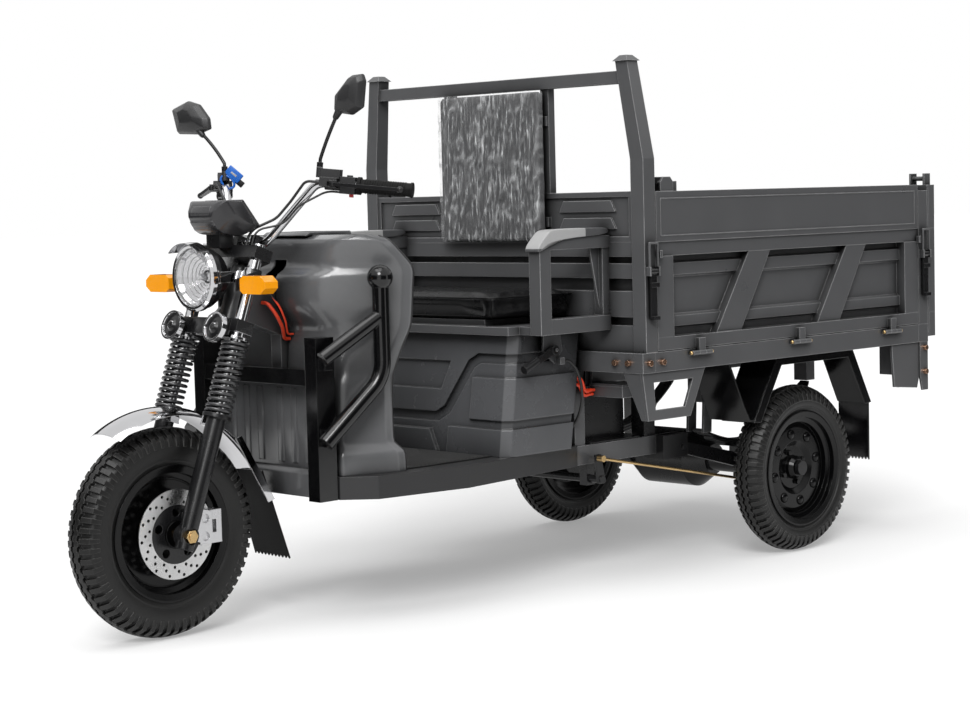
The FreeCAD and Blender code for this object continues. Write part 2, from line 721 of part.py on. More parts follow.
def headlight():
    c = V(0, 0, LAMP_Z)

    def spun(profile):
        pts = [c + V(x, 0, r) for x, r in profile]
        return Part.Face(Part.makePolygon(pts + [pts[0]])).revolve(c, V(1, 0, 0), 360)
    f = LAMP_FRONT
    r = LAMP_R
    bucket = spun([(f + 16, r - 3), (f + 34, r - 4), (f + 66, r - 22), (f + 86, r - 50), (f + 88, 0), (f + 84, 0),
                   (f + 82, r - 52), (f + 63, r - 26), (f + 32, r - 8), (f + 16, r - 7)])
    rim = spun([(f, r - 10), (f - 2, r - 4), (f + 4, r + 2), (f + 16, r + 2), (f + 16, r - 7), (f + 9, r - 10)])
    peak = spun([(f - 26, r + 1), (f - 26, r + 3), (f + 10, r + 5), (f + 10, r + 2), (f + 4, r + 2)])
    keep = prism_yz([(-58, LAMP_Z + 52), (0, LAMP_Z + 66), (58, LAMP_Z + 52), (58, LAMP_Z + 120), (-58, LAMP_Z + 120)],
                    f - 60, f + 40)
    peak = peak.common(keep).cut(rim)
    lens = spun([(f + 1, r - 10 - FIT), (f + 7, r - 10 - FIT), (f + 5, 0), (f - 14, 0), (f - 12, 26), (f - 7, 50)])
    nodes["headlight_rim"] = [rim, peak]
    nodes["headlight_lens"] = [lens]
    s_mid = (LAMP_Z - FRONT_TYRE_R) / COS
    shells = []
    for sign in (-1, 1):
        y = sign * FORK_HALF
        clip = ring(along(s_mid - 16, y), along(s_mid + 16, y), STANCHION_R + 6, STANCHION_R + FIT)
        x_clip = s_mid * SIN
        ear_in = sign * (LAMP_R - 4)
        ear_out = sign * (FORK_HALF - STANCHION_R - 2)
        ear = prism_xz([(f + 22, LAMP_Z - 13), (f + 22, LAMP_Z + 13), (x_clip + 8, LAMP_Z + 15), (x_clip, LAMP_Z - 14)],
                       min(ear_in, ear_out), max(ear_in, ear_out))
        wing_in = sign * (FORK_HALF + STANCHION_R + 2)
        wing = prism_xz([(f + 40, LAMP_Z - 34), (f + 40, LAMP_Z - 4), (x_clip + 4, LAMP_Z + 14),
                         (x_clip + 2, LAMP_Z - 12)], min(wing_in, wing_in + sign * 4), max(wing_in, wing_in + sign * 4))
        stalk = across(f + 54, LAMP_Z - 18, wing_in, sign * (FORK_HALF + 43), 7)
        part = fused([clip, ear, wing, stalk])
        bore = rod(along(s_mid - 60, y), along(s_mid + 60, y), STANCHION_R + FIT)
        shells.append(part.cut(bore).cut(bucket))
    nodes["headlight_shell"] = [bucket] + shells
    lamps = []
    for sign in (-1, 1):
        y0 = FORK_HALF + 43
        side = [(y0, -14), (y0 + 12, -22), (y0 + 78, -22), (y0 + 97, -8), (y0 + 97, 8), (y0 + 78, 22), (y0 + 12, 22),
                (y0, 14)]
        pts = [(sign * y, LAMP_Z - 18 + z) for y, z in side]
        lamps.append(prism_yz(pts, f + 34, f + 74))
    nodes["turn_signals"] = lamps


def horns():
    plate = fork_prism([(-YOKE_FRONT - 6, -100), (-YOKE_FRONT, -100), (-YOKE_FRONT, 100), (-YOKE_FRONT - 6, 100)],
                       SPRING_HIGH + 8, YOKE_LOW + YOKE_T - 3)
    nodes["steering_stem"].append(plate)
    parts = []
    for sign in (-1, 1):
        mid = along(YOKE_LOW - 2, sign * 86, -YOKE_FRONT - 6)

        def spun(profile, mid=mid):
            pts = [mid - BACK * d + UP * r for d, r in profile]
            return Part.Face(Part.makePolygon(pts + [pts[0]])).revolve(mid, BACK, 360)
        parts.append(spun([(0, 0), (0, 8), (6, 8), (6, 14), (10, 26), (20, HORN_R), (34, HORN_R), (34, HORN_R - 5), (27, HORN_R - 9),
                           (30, 16), (36, 9), (36, 0)]))
    nodes["horns"] = parts


def dashboard():
    top = YOKE_HIGH + YOKE_T
    profile = [(151, 986), (145, 1012), (167, 1044), (247, 1058), (270, 1036), (265, 998), (246, 960), (214, 956), (190, 942)]
    body = prism_xz(profile, -DASH_HALF, DASH_HALF)
    trims = []
    for sign in (-1, 1):
        wide = sign * (DASH_HALF + 8)
        edge = sign * DASH_HALF
        nose = sign * (DASH_HALF - 22)
        trims.append(prism_xy([(117, nose), (117, wide), (307, wide), (307, nose), (261, edge), (177, edge)], 930, 1080))
    screen = prism_xz([(177, 1046), (247, 1058), (249, 1061), (177, 1050)], 22 - DASH_HALF, DASH_HALF - 22)
    body = cut_all(body, trims)
    post = prism([along(top, y, b) for b, y in ((-18, -16), (10, -16), (10, 16), (-18, 16))], UP * 46)
    nodes["dashboard"] = [body, screen.cut(body), post.cut(body)]


def control_cables():
    """A brake hose and a switch lead on each side, tied along the rise of the bar down to the yoke."""
    cables = []
    top = YOKE_HIGH + YOKE_T
    for sign in (-1, 1):
        perch, w, length, ahead, up = bar_frame(sign)
        foot = bar_centre() + V(0, sign * (CLAMP_Y + BAR_BEND * 0.5), 0)
        rise = perch - foot
        front = V(-1, 0, 0)
        front = (front - V(rise).normalize() * front.dot(V(rise).normalize())).normalize()
        inner = V(rise).normalize().cross(front) * sign
        hose_at = (front + inner).normalize() * (BAR_R + 9)
        lead_at = (front - inner).normalize() * (BAR_R + 9)
        end = along(top, sign * 52, -2)
        start = perch + w * 2 + ahead * 22 + up * 2
        path = [start, start - w * 26, foot + rise * 0.62 + hose_at, foot + rise * 0.34 + hose_at, end + UP * 46, end]
        cables.append(bent_rod(path, 60, HOSE_R, "brake hose"))
        end = along(top, sign * 76, -4)
        start = perch + w * SWITCH_T - up * 19.2
        path = [start, start - w * 36, foot + rise * 0.66 + lead_at, foot + rise * 0.36 + lead_at, end + UP * 46, end]
        cables.append(bent_rod(path, 60, LEAD_R, "switch lead"))
    nodes["control_cables"] = cables


# Chassis

def chassis():
    members = []
    rail_in = RAIL_OUT - RAIL_W
    low = DECK_BOTTOM + 1
    high = DECK_Z - SHEET
    members += pair(box(COLUMN_X + COLUMN_W, RAIL_END, rail_in, RAIL_OUT, low, high))
    for x in (COLUMN_X + COLUMN_W + 2, 760.0, SEAT_X + 20, 1172.0, RAIL_END - 44):
        members.append(box(x, x + 40, -rail_in, rail_in, low, high))
    front = box(COLUMN_X, COLUMN_X + COLUMN_W, -RAIL_OUT + 42, RAIL_OUT - 42, low, high - 6)
    column = neck()
    members += [front, column]
    cheek = RAIL_END + 6
    for sign in (-1, 1):
        plate = box(RAIL_END, cheek, *sorted((sign * rail_in, sign * (ROD_Y + 22))), low - 16, high)
        inner = box(cheek, PIVOT_X + 22, *sorted((sign * (ROD_Y - 22), sign * (ROD_Y - 13))), low - 16, high)
        outer = box(cheek, PIVOT_X + 22, *sorted((sign * (ROD_Y + 13), sign * (ROD_Y + 22))), low - 16, high)
        pin = across(PIVOT_X, PIVOT_Z, sign * (ROD_Y - 30), sign * (ROD_Y + 30), 8)
        members.append(fused([plate, inner, outer, pin]))
    bed_under = BED_Z - BEAM_H
    members += pair(box(DECK_REAR, DECK_REAR + 40, rail_in, RAIL_OUT - 3, high, bed_under))
    members += pair(box(RAIL_END - 46, RAIL_END, rail_in, RAIL_OUT - 3, high, bed_under - 44))
    posts = []
    for sign in (-1, 1):
        y0, y1 = sorted((sign * BUMPER_OUT, sign * (BUMPER_OUT - BUMPER_W)))
        post = box(BUMPER_X, BUMPER_X + BUMPER_D, y0, y1, DECK_BOTTOM, BUMPER_TOP)
        web = box(BUMPER_X + 5, BUMPER_X + BUMPER_D + 1, *sorted((sign * (BUMPER_OUT - 5), sign * (BUMPER_OUT - BUMPER_W + 5))),
                  DECK_BOTTOM + 5, BUMPER_TOP - 5)
        posts.append(post.cut(web))
        tie = box(BUMPER_X + BUMPER_D, COLUMN_X, y0 + 4, y1 - 4, low, high - 6)
        members.append(tie)
    bar = box(BUMPER_X + 4, BUMPER_X + 40, BUMPER_W - BUMPER_OUT, BUMPER_OUT - BUMPER_W, 600, 640)
    nodes["crash_bars"] = posts + [bar]
    braces = []
    for sign in (-1, 1):
        braces.append(box(BUMPER_X + 40, COLUMN_X, *sorted((sign * 4, sign * (NECK_W / 2))), 606, 634))
    members += braces
    for sign in (-1, 1):
        hanger = box(CROSS_X - 16, CROSS_X + 16, *sorted((sign * (rail_in + 12), sign * (RAIL_OUT - 12))), CROSS_Z - 18, low)
        members.append(hanger.cut(across(CROSS_X, CROSS_Z, -400, 400, CROSS_R + RUN)))
    nodes["chassis_frame"] = members


def neck():
    half = NECK_W / 2
    rear = COLUMN_X + COLUMN_W
    low = along(YOKE_LOW + YOKE_T + 6, 0, STEER_BACK)
    high = along(YOKE_HIGH - 6, 0, STEER_BACK)
    sheet = prism_xz([(low.x + 6, low.z + 14), (high.x, high.z - 22), (high.x + 50, high.z - 26), (rear, low.z + 40),
                      (rear, DECK_Z - SHEET - 6), (COLUMN_X, DECK_Z - SHEET - 6), (COLUMN_X, low.z - 40)], -half, half)
    tube = rod(low, high, HEAD_TUBE_R)
    bore = rod(low - UP * 5, high + UP * 5, STEM_R + RUN)
    return sheet.fuse(tube).cut(bore).removeSplitter()


def crash_bars():
    bars = []
    for sign in (-1, 1):
        y = sign * CRASH_Y
        far = sign * (CRASH_Y + 40)
        low = V(300, y, 462)
        bend = V(457, far, 616)
        top = V(457, far, 840)
        tube = bent_rod([low, bend, top], 95, CRASH_R)
        strut = rod(V(298, y, 668), V(459, far, 770), CRASH_R - 2)
        ball = Part.makeSphere(BALL_R, V(457, far, 861))
        tabs = []
        for z in (452, 640):
            y0, y1 = sorted((sign * BUMPER_OUT, y))
            tabs.append(box(BUMPER_X + 8, BUMPER_X + 34, y0, y1, z, z + 42))
        bars.append(fused([tube, strut, ball] + tabs))
    nodes["crash_bars"] += bars


def deck_outline(inset=0.0, rear=DECK_REAR):
    return [(358 + inset, inset - 252), (426 + inset * 0.6, inset - 320), (698, inset - 360), (rear, inset - 300),
            (rear, 300 - inset), (698, 360 - inset), (426 + inset * 0.6, 320 - inset), (358 + inset, 252 - inset)]


def footboard():
    shell = prism_xy(deck_outline(), DECK_BOTTOM, DECK_Z)
    hollow = prism_xy(deck_outline(SHEET, DECK_REAR + 7), DECK_BOTTOM - 1, DECK_Z - SHEET)
    shell = shell.cut(hollow)
    gap = box(COLUMN_X - 1, COLUMN_X + COLUMN_W + 1, -NECK_W / 2 - 1, NECK_W / 2 + 1, DECK_BOTTOM, DECK_Z + 1)
    front = [box(340, COLUMN_X, *sorted((s * (BUMPER_OUT - 4), s * (BUMPER_OUT - BUMPER_W + 4))), DECK_BOTTOM, DECK_Z - SHEET)
             for s in (-1, 1)]
    nodes["footboard"] = [cut_all(shell, [gap] + front)]


def fairing_level(z, front, front_half, rear, rear_half, wall=0.0, stretch=0.0):
    """One plan outline of the cowl at height z."""
    slope = (rear_half - front_half) / (rear - front)
    side = wall * math.sqrt(1 + slope * slope)
    x0 = front + wall
    x1 = rear + stretch
    y0 = front_half - side + slope * wall
    y1 = rear_half - side + slope * stretch
    pts = [V(x0, -y0, z), V(x1, -y1, z), V(x1, y1, z), V(x0, y0, z)]
    return Part.makePolygon(pts + [pts[0]])


FAIRING_NOSE = 395.7
FAIRING = [
    (DECK_Z, 366, 252, 537, 308),
    (424, 366, 250, 533, 304),
    (465, 372, 238, 514, 290),
    (622, 386, 214, 516, 292),
    (734, 400, 176, 552, 322),
    (794, 361, 152, 557, 327),
    (871, 362, 158, 561, 330),
    (935, 367, 182, 526, 306),
    (957, 386, 204, 509, 288),
    (967, 428, 222, 486, 262),
]


def fairing():
    outer = Part.makeLoft([fairing_level(*row) for row in FAIRING], True, True)
    low = [fairing_level(*row, wall=FAIRING_WALL) for row in FAIRING[:-2]]
    inner = Part.makeLoft(low, True, True)
    skirt = inner.common(box(300, 470, -400, 400, DECK_Z - 1, 930))
    knees = Part.makeLoft([fairing_level(*row, wall=FAIRING_WALL, stretch=30) for row in FAIRING[:-2]], True, True)
    knees = knees.common(box(476, 640, -400, 400, DECK_Z - 1, 930))
    slot = box(300, 460, -NECK_W / 2 - 4, NECK_W / 2 + 4, DECK_Z - 1, 905)
    bar_room = box(300, COLUMN_X + 6, -BUMPER_OUT, BUMPER_OUT, 596, 644)
    shell = outer.cut(skirt).cut(knees).cut(slot).cut(bar_room)
    pad = prism_xz([(410, 966), (424, 975), (560, 975), (566, 950), (566, 936), (480, 936), (430, 960)], -88, 88)
    pad = pad.cut(outer)
    cover = prism_xz([(500, 930), (500, 955), (566, 950), (566, 900)], -88, 88).cut(outer).cut(pad)
    flutes = [box(BUMPER_X + 49, BUMPER_X + 57, y - 11, y + 11, 398, 586) for y in (-150, -95, -40, 40, 95, 150)]
    apron = box(BUMPER_X + 52, BUMPER_X + 60, BUMPER_W - BUMPER_OUT + 1, BUMPER_OUT - BUMPER_W - 1, DECK_Z + 14, 598)
    apron = fused([apron] + [f.cut(apron) for f in flutes])
    lip = prism_xz([(BUMPER_X + 44, DECK_BOTTOM), (BUMPER_X + 38, DECK_Z + 2), (BUMPER_X + 46, DECK_Z + 14),
                    (358, DECK_Z + 14), (358, DECK_BOTTOM)], BUMPER_W - BUMPER_OUT + 1, BUMPER_OUT - BUMPER_W - 1)
    apron = apron.cut(outer)
    lip = lip.cut(outer)
    nodes["front_fairing"] = [shell, pad, cover, apron, lip]


# Seat

SEAT_LEAN = 46.0
SEAT_REAR = 1104.0
SEAT_REAR_TOP = 1160.0


def seat_body(grow=0.0, low=DECK_Z, high=SEAT_SHELF):
    """The moulded seat box, wider by grow on the front and sides between two heights."""
    def level(z):
        k = (z - DECK_Z) / (SEAT_SHELF - DECK_Z)
        x0 = SEAT_X + SEAT_LEAN * k - grow
        x1 = SEAT_REAR + (SEAT_REAR_TOP - SEAT_REAR) * k
        y = SEAT_HALF - 6 * k + grow
        corner = 22
        pts = [(x0, corner - y), (x0 + corner, -y), (x1, -y), (x1, y), (x0 + corner, y), (x0, y - corner)]
        pts = [V(x, yy, z) for x, yy in pts]
        return Part.makePolygon(pts + [pts[0]])
    return Part.makeLoft([level(low), level(high)], True, True)


def strip(points, width):
    """Mitred band of one width along a line of (y, z) points."""
    left = []
    right = []
    for i, (y, z) in enumerate(points):
        a = points[max(i - 1, 0)]
        b = points[min(i + 1, len(points) - 1)]
        d1 = V(y - a[0], z - a[1], 0)
        d2 = V(b[0] - y, b[1] - z, 0)
        d1 = d1.normalize() if d1.Length else V(d2).normalize()
        d2 = d2.normalize() if d2.Length else V(d1)
        n = V(-(d1 + d2).y, (d1 + d2).x, 0).normalize()
        k = width / 2 / max(0.5, n.dot(V(-d1.y, d1.x, 0)))
        left.append((y + n.x * k, z + n.y * k))
        right.append((y - n.x * k, z - n.y * k))
    return left + list(reversed(right))


def seat_z(share):
    """Height on the seat box, as a share of its rise from the deck to the shelf."""
    return DECK_Z + share * (SEAT_SHELF - DECK_Z)


def seat_base():
    body = seat_body()
    foot_top = seat_z(0.223)
    step_low = seat_z(0.296)
    step_high = seat_z(0.8)
    foot = seat_body(9, DECK_Z, foot_top)
    band = seat_body(8, step_low, seat_z(0.642))
    reach = SEAT_HALF + 100
    ahead = SEAT_X - 160
    low = DECK_Z - 70
    high = SEAT_SHELF + 110
    front_only = box(ahead, SEAT_X + 60, -188, reach, low, high)
    skin = fused([body, foot.cut(box(ahead, SEAT_X + 30, -110, reach, low, high)), band.cut(front_only)])
    inside = seat_body(-5, DECK_Z, SEAT_SHELF)
    inside.translate(V(5, 0, 0))
    side = SEAT_HALF - 20
    hollow = inside.common(box(ahead, SEAT_REAR - 5, -side, side, DECK_Z, SEAT_SHELF - 5))
    skin = skin.cut(hollow)
    front = box(ahead, SEAT_X + 70, -reach, reach, low, high)
    brow = prism_yz([(reach, step_low + 9), (-62, step_low + 9), (-92, step_low + 26), (-170, step_high - 6),
                     (-202, step_high + 10), (-reach, step_high + 10), (-reach, high), (reach, high)], ahead, SEAT_X + 200)
    window = prism_yz([(-100, seat_z(0.767)), (250, seat_z(0.767)), (250, seat_z(0.528)), (-70, seat_z(0.528))],
                      ahead, SEAT_X + 200)
    toe = prism_yz([(-76, DECK_Z + 2), (250, DECK_Z + 2), (250, seat_z(0.189)), (-40, seat_z(0.189))], ahead, SEAT_X + 200)
    plates = [brow.cut(window).common(seat_body(7)), toe.common(seat_body(12))]
    skin = fused([skin] + [p.common(front) for p in plates])
    groove = prism_yz(strip([(reach, step_low), (-60, step_low), (-96, step_low + 20), (-176, step_high - 16),
                             (-206, step_high), (-reach, step_high)], 26), ahead, SEAT_X + 200)
    groove = groove.common(seat_body(14).cut(seat_body(-4)))
    nodes["seat_base_cover"] = [skin.cut(groove).cut(hollow)]


def seat_frame():
    high = SEAT_SHELF + SHELF_T
    x1 = POST_X - 20
    tray = box(SEAT_X + 12, x1, -SEAT_HALF - 10, SEAT_HALF + 10, SEAT_SHELF, high)
    riser = box(CUSHION_X + 16, CUSHION_X + CUSHION_L - 40, 40 - CUSHION_HALF, CUSHION_HALF - 40, high, CUSHION_Z)
    members = [tray, riser]
    t = ARM_TUBE
    stop = POST_X + 4
    for sign in (-1, 1):
        y0, y1 = sorted((sign * (ARM_Y - t / 2), sign * (ARM_Y + t / 2)))
        crown = ARM_TOP - 8
        nose = prism_xz([(ARM_FRONT - 9, crown - ARM_NOSE + 1), (ARM_FRONT + ARM_NOSE, crown + 8), (ARM_FRONT - 9, crown + 8)],
                        y0 - 1, y1 + 1)
        post = box(ARM_FRONT, ARM_FRONT + t, y0, y1, SEAT_SHELF, ARM_TOP - t)
        rail = box(ARM_FRONT, stop, y0, y1, ARM_TOP - t, crown)
        members.append(post.cut(nose))
        members.append(box(ARM_FRONT + t, stop, y0, y1, SEAT_SHELF, SEAT_SHELF + t))
        members.append(rail.cut(nose))
        back = stop - ARM_UPRIGHT
        members.append(box(back, stop, y0 + 4, y1 - 4, SEAT_SHELF + t, ARM_TOP - t))
        mid = sign * ARM_Y
        members.append(prism_xz([(back, ARM_TOP - t), (back, SEAT_SHELF + t + 20), (back - 34, ARM_TOP - t)], mid - 3, mid + 3))
        for x in (ARM_FRONT + 4, x1 - 60):
            members.append(box(x, x + 32, *sorted((sign * (SEAT_HALF + 10), sign * (ARM_Y - t / 2))), SEAT_SHELF, high))
    nodes["seat_frame"] = members
    pads = []
    crown = ARM_TOP - 8
    for sign in (-1, 1):
        mid = sign * ARM_Y
        w = t / 2 + 5
        side = [(stop - 6, crown), (stop - 6, crown + 16), (stop - 14, crown + 23), (ARM_FRONT + ARM_NOSE + 4, crown + 23),
                (ARM_FRONT - 6, crown - 18), (ARM_FRONT - 12, crown - 32), (ARM_FRONT - 9, crown - ARM_NOSE + 1),
                (ARM_FRONT - 0.9, crown - ARM_NOSE + 7.2), (ARM_FRONT + ARM_NOSE - 8, crown)]
        section = [(mid - w, crown - ARM_NOSE), (mid - w, crown + 13), (mid - w + 4, crown + 20), (mid - w + 11, crown + 24),
                   (mid + w - 11, crown + 24), (mid + w - 4, crown + 20), (mid + w, crown + 13), (mid + w, crown - ARM_NOSE)]
        block = prism_xz(side, mid - w, mid + w)
        pads.append(cut_all(block.common(prism_yz(section, ARM_FRONT - 40, stop + 40)), members))
    nodes["armrest_pads"] = pads


def soft_block(half_a, half_b, corner, levels, place):
    """Padded block: levels are (height, inset) pairs from its back to its crown."""
    wires = []
    for h, d in levels:
        wires.append(rounded_outline(half_a - d, half_b - d, max(6.0, corner - d * 0.4), lambda a, b, h=h: place(a, b, h)))
    return Part.makeLoft(wires, True, True)


def cushions():
    mid = CUSHION_X + CUSHION_L / 2
    t = CUSHION_T
    levels = [(0, 8), (0.12 * t, 2), (0.5 * t, 5), (0.84 * t, 0), (0.9 * t, 2.5), (0.96 * t, 9), (t, 60)]
    flare = CUSHION_FLARE / CUSHION_HALF

    def spread(a, b, h):
        return V(mid + a, b * (1 + flare * (a / CUSHION_L + 0.5)), CUSHION_Z + h)
    nodes["seat_cushion"] = [soft_block(CUSHION_L / 2, CUSHION_HALF, 34, levels, spread)]
    t = PAD_T
    zc = PAD_Z + PAD_H / 2
    levels = [(0, 6), (0.14 * t, 1), (0.5 * t, 4), (0.78 * t, 0), (0.9 * t, 4), (t, 46)]
    pad = soft_block(PAD_H / 2, PAD_HALF, 20, levels, lambda a, b, h: V(PAD_X + PAD_T - h, b, zc + a))
    holes = []
    for dy in (-52, 52):
        for dz in (-96, 96):
            p = V(PAD_X - 1, dy, zc + dz)
            holes.append(Part.makeCone(9, 4, 9, p, V(1, 0, 0)))
    nodes["backrest_pad"] = [cut_all(pad, holes)]


# Cargo bed

def corner_square(x, y, size, z):
    pts = [V(x, y, z), V(x + size, y, z), V(x + size, y + size, z), V(x, y + size, z)]
    return Part.makePolygon(pts + [pts[0]])


def headboard():
    posts = []
    caps = []
    face = POST_X + 4
    back = POST_X + 30
    inner = BED_HALF - POST
    for sign in (-1, 1):
        y0 = min(sign * BED_HALF, sign * inner)
        foot = box(POST_X, POST_X + POST, y0, y0 + POST, BED_Z, BEND_Z)
        high = corner_square(POST_X - POST_AHEAD + 2, y0 - sign * POST_IN + 2, POST - 4, POST_TOP)
        lean = Part.makeLoft([corner_square(POST_X, y0, POST, BEND_Z), high], True, True)
        posts.append(fused([foot, lean]))
        cx = POST_X - POST_AHEAD + POST / 2
        cy = y0 - sign * POST_IN + POST / 2
        caps.append(Part.makeLoft([corner_square(cx - 26, cy - 26, 52, POST_TOP), corner_square(cx - 12, cy - 12, 24, POST_TOP + 15)],
                                  True, True))
    parts = posts + caps
    bar_low = PAD_Z + PAD_H + 2
    drift = POST_AHEAD * (bar_low - BEND_Z) / (POST_TOP - BEND_Z)
    bar = box(POST_X - drift + 6, POST_X - drift + 38, -inner, inner, bar_low, bar_low + BAR_H)
    parts.append(cut_all(bar, posts))
    for sign in (-1, 1):
        y0, y1 = sorted((sign * 176, sign * 206))
        parts.append(box(face, face + 24, y0, y1, PANEL_TOP, bar_low))
        parts.append(box(PAD_X + PAD_T, POST_X + 10, y0 + 4, y1 - 4, PAD_Z + 40, PAD_Z + 66))
        parts.append(box(PAD_X + PAD_T, face, y0 + 4, y1 - 4, PAD_Z + 314, PAD_Z + 340))
    panel_low = PANEL_TOP - PANEL_H
    panel = box(face, back, -inner, inner, panel_low, PANEL_TOP)
    inset = box(POST_X, POST_X + 10, 12 - inner, inner - 12, panel_low + 15, PANEL_TOP - 14)
    parts.append(panel.cut(inset))
    for sign in (-1, 1):
        for z in (panel_low + 35, panel_low + 81):
            a, b = sign * (PAD_HALF + 40), sign * (inner - 60)
            parts.append(prism_yz([(a, z), (b, z), (b - sign * 16, z + 30), (a + sign * 16, z + 30)], face, POST_X + 10))
    rise = panel_low - BED_Z
    slats = ((0, 0.244), (0.319, 0.556), (0.671, 0.807), (0.868, 1))
    for k0, k1 in slats:
        parts.append(box(face, back, -inner, inner, BED_Z + rise * k0, BED_Z + rise * k1))
    for (a, k0), (k1, b) in zip(slats, slats[1:]):
        parts.append(box(back - 6, back, -inner, inner, BED_Z + rise * k0, BED_Z + rise * k1))
    nodes["headboard"] = parts


def bed():
    z0 = BED_Z - BEAM_H
    w = BEAM_W
    parts = [box(BED_FRONT, BED_FRONT + w, -BED_HALF, BED_HALF, z0, BED_Z),
             box(BED_REAR - w, BED_REAR, -BED_HALF, BED_HALF, z0, BED_Z)]
    parts += pair(box(BED_FRONT + w, BED_REAR - w, BED_HALF - w, BED_HALF, z0, BED_Z))
    parts.append(box(BED_FRONT + w, BED_REAR - w, w - BED_HALF, BED_HALF - w, BED_Z - 6, BED_Z))
    parts += pair(box(BED_FRONT + w, BED_REAR - w, LEAF_Y - 25, LEAF_Y + 25, z0 - LONG_DROP, BED_Z - 6))
    for run in (263, 513, 813, 1073):
        x = BED_FRONT + run
        parts.append(box(x, x + 40, 25 - LEAF_Y, LEAF_Y - 25, z0, BED_Z - 6))
        parts += pair(box(x, x + 40, LEAF_Y + 25, BED_HALF - w, z0, BED_Z - 6))
    x0 = BED_REAR - 48
    parts += pair(box(x0, BED_REAR, BED_HALF - POST, BED_HALF, BED_Z, GATE_TOP - 18))
    for sign in (-1, 1):
        y0, y1 = sorted((sign * BED_HALF, sign * (BED_HALF - 6)))
        toe = z0 - 148
        leg = prism_xz([(x0 + 4, z0), (x0 + 4, toe + 44), (x0 + 16, toe), (BED_REAR - 2, toe), (BED_REAR - 2, z0)], y0, y1)
        parts.append(leg)
    nodes["bed_frame"] = parts
    knuckles()


def hinge_places():
    return (BED_FRONT + 229, BED_FRONT + 671, BED_REAR - 200)


def knuckles():
    """Bed halves of the gate hinges and their pins."""
    z = BED_Z - HINGE_DROP
    y = BED_HALF + HINGE_OUT
    parts = []
    pins = []
    for sign in (-1, 1):
        for x in hinge_places():
            for side in (-1, 1):
                a, b = sorted((x + side * 14, x + side * 40))
                barrel = rod(V(a, sign * y, z), V(b, sign * y, z), HINGE_R)
                leaf = box(a, b, *sorted((sign * BED_HALF, sign * y)), z - HINGE_R, z)
                hole = rod(V(a - 1, sign * y, z), V(b + 1, sign * y, z), HINGE_PIN_R + FIT)
                parts.append(fused([barrel, leaf]).cut(hole))
            pins.append(rod(V(x - 42, sign * y, z), V(x + 42, sign * y, z), HINGE_PIN_R))
    zt = tail_hinge().z
    xt = tail_hinge().x
    for yy in (-320.0, 0.0, 320.0):
        for side in (-1, 1):
            a, b = sorted((yy + side * 14, yy + side * 40))
            barrel = across(xt, zt, a, b, HINGE_R)
            arm = box(BED_REAR, xt, a, b, TAIL_BOTTOM - 9, TAIL_BOTTOM - 3)
            drop = box(xt - 4, xt + 4, a, b, TAIL_BOTTOM - 9, zt)
            parts.append(fused([barrel, arm, drop]).cut(across(xt, zt, a - 1, b + 1, HINGE_PIN_R + FIT)))
        pins.append(across(xt, zt, yy - 42, yy + 42, HINGE_PIN_R))
    nodes["bed_frame"] += parts
    nodes["frame_bolts"] = pins
    anchors["gate_left"] = V(hinge_places()[1], -y, z)
    anchors["gate_right"] = V(hinge_places()[1], y, z)
    anchors["tailgate"] = tail_hinge()


def tail_hinge():
    return V(TAIL_OUT + HINGE_OUT, 0, TAIL_BOTTOM + 8)


def side_gate(side):
    """Pressed steel drop side with ribs and slanted stiffeners, drawn on the left."""
    x0 = POST_X + POST + GATE_GAP
    x1 = BED_REAR - 48 - GATE_GAP
    z0 = BED_Z + GATE_GAP
    y_out = -BED_HALF
    y_in = y_out + GATE_T
    skin = box(x0, x1, y_in - 8, y_in, z0, GATE_TOP)
    parts = [skin]
    deep = y_in - 8

    def face(a, b, c, d, out=y_out):
        parts.append(box(a, b, out, deep, c, d))
    rail = GATE_TOP - GATE_RAIL
    lip = rail - GATE_LIP
    sill = z0 + GATE_SILL
    clear = lip - sill
    xa = x0 + GATE_SIDE
    xb = x1 - GATE_SIDE - 4
    face(x0, x1, rail, GATE_TOP)
    face(x0, x1, lip, rail, y_out + 4)
    face(x0, x1, z0, sill)
    face(x0, xa, sill, lip)
    face(xb, x1, sill, lip)
    for k0, k1 in ((0.12, 0.247), (0.757, 0.903)):
        low = sill + clear * k0
        high = sill + clear * k1
        rib = [(deep, low - 6), (deep, high + 6), (y_out + 20, high), (y_out + 20, low)]
        parts.append(prism_yz(rib, xa, xb))
    for run in (249.5, 704.5):
        a = x0 + run
        slant = prism_xz([(a, sill), (a + 106, sill), (a + 239, lip), (a + 143, lip)], y_out + 5, deep)
        parts.append(slant)
    ribs = parts[6:8]
    slants = parts[8:]
    parts[6:8] = [cut_all(r, slants) for r in ribs]
    for x in hinge_places():
        y = -(BED_HALF + HINGE_OUT)
        z = BED_Z - HINGE_DROP
        barrel = rod(V(x - 13.4, y, z), V(x + 13.4, y, z), HINGE_R)
        leaf = box(x - 13.4, x + 13.4, y - 4, y_out, z, z0 + 26)
        leaf = leaf.cut(box(x - 20, x + 20, y + 4, y_out + 1, z - 20, BED_Z + 1))
        parts.append(fused([barrel, leaf]).cut(rod(V(x - 30, y, z), V(x + 30, y, z), HINGE_PIN_R + RUN)))
    for a in (x0 + 22,):
        for y0 in (y_out + 2, y_in - 8):
            ear = prism_xz([(a, GATE_TOP), (a, GATE_TOP + 24), (a + 12, GATE_TOP + 38), (a + 40, GATE_TOP + 38),
                            (a + 52, GATE_TOP + 24), (a + 52, GATE_TOP)], y0, y0 + 6)
            parts.append(ear)
        parts.append(across(a + 26, GATE_TOP + 20, y_out + 8, y_in - 8, 7))
    for a in (x0, x1 - 10):
        parts.append(box(a, a + 10, y_out - 12, y_out, lip - 4, lip + 16))
    if side == "right":
        parts = [mirrored(p) for p in parts]
    nodes["side_gate_" + side] = parts


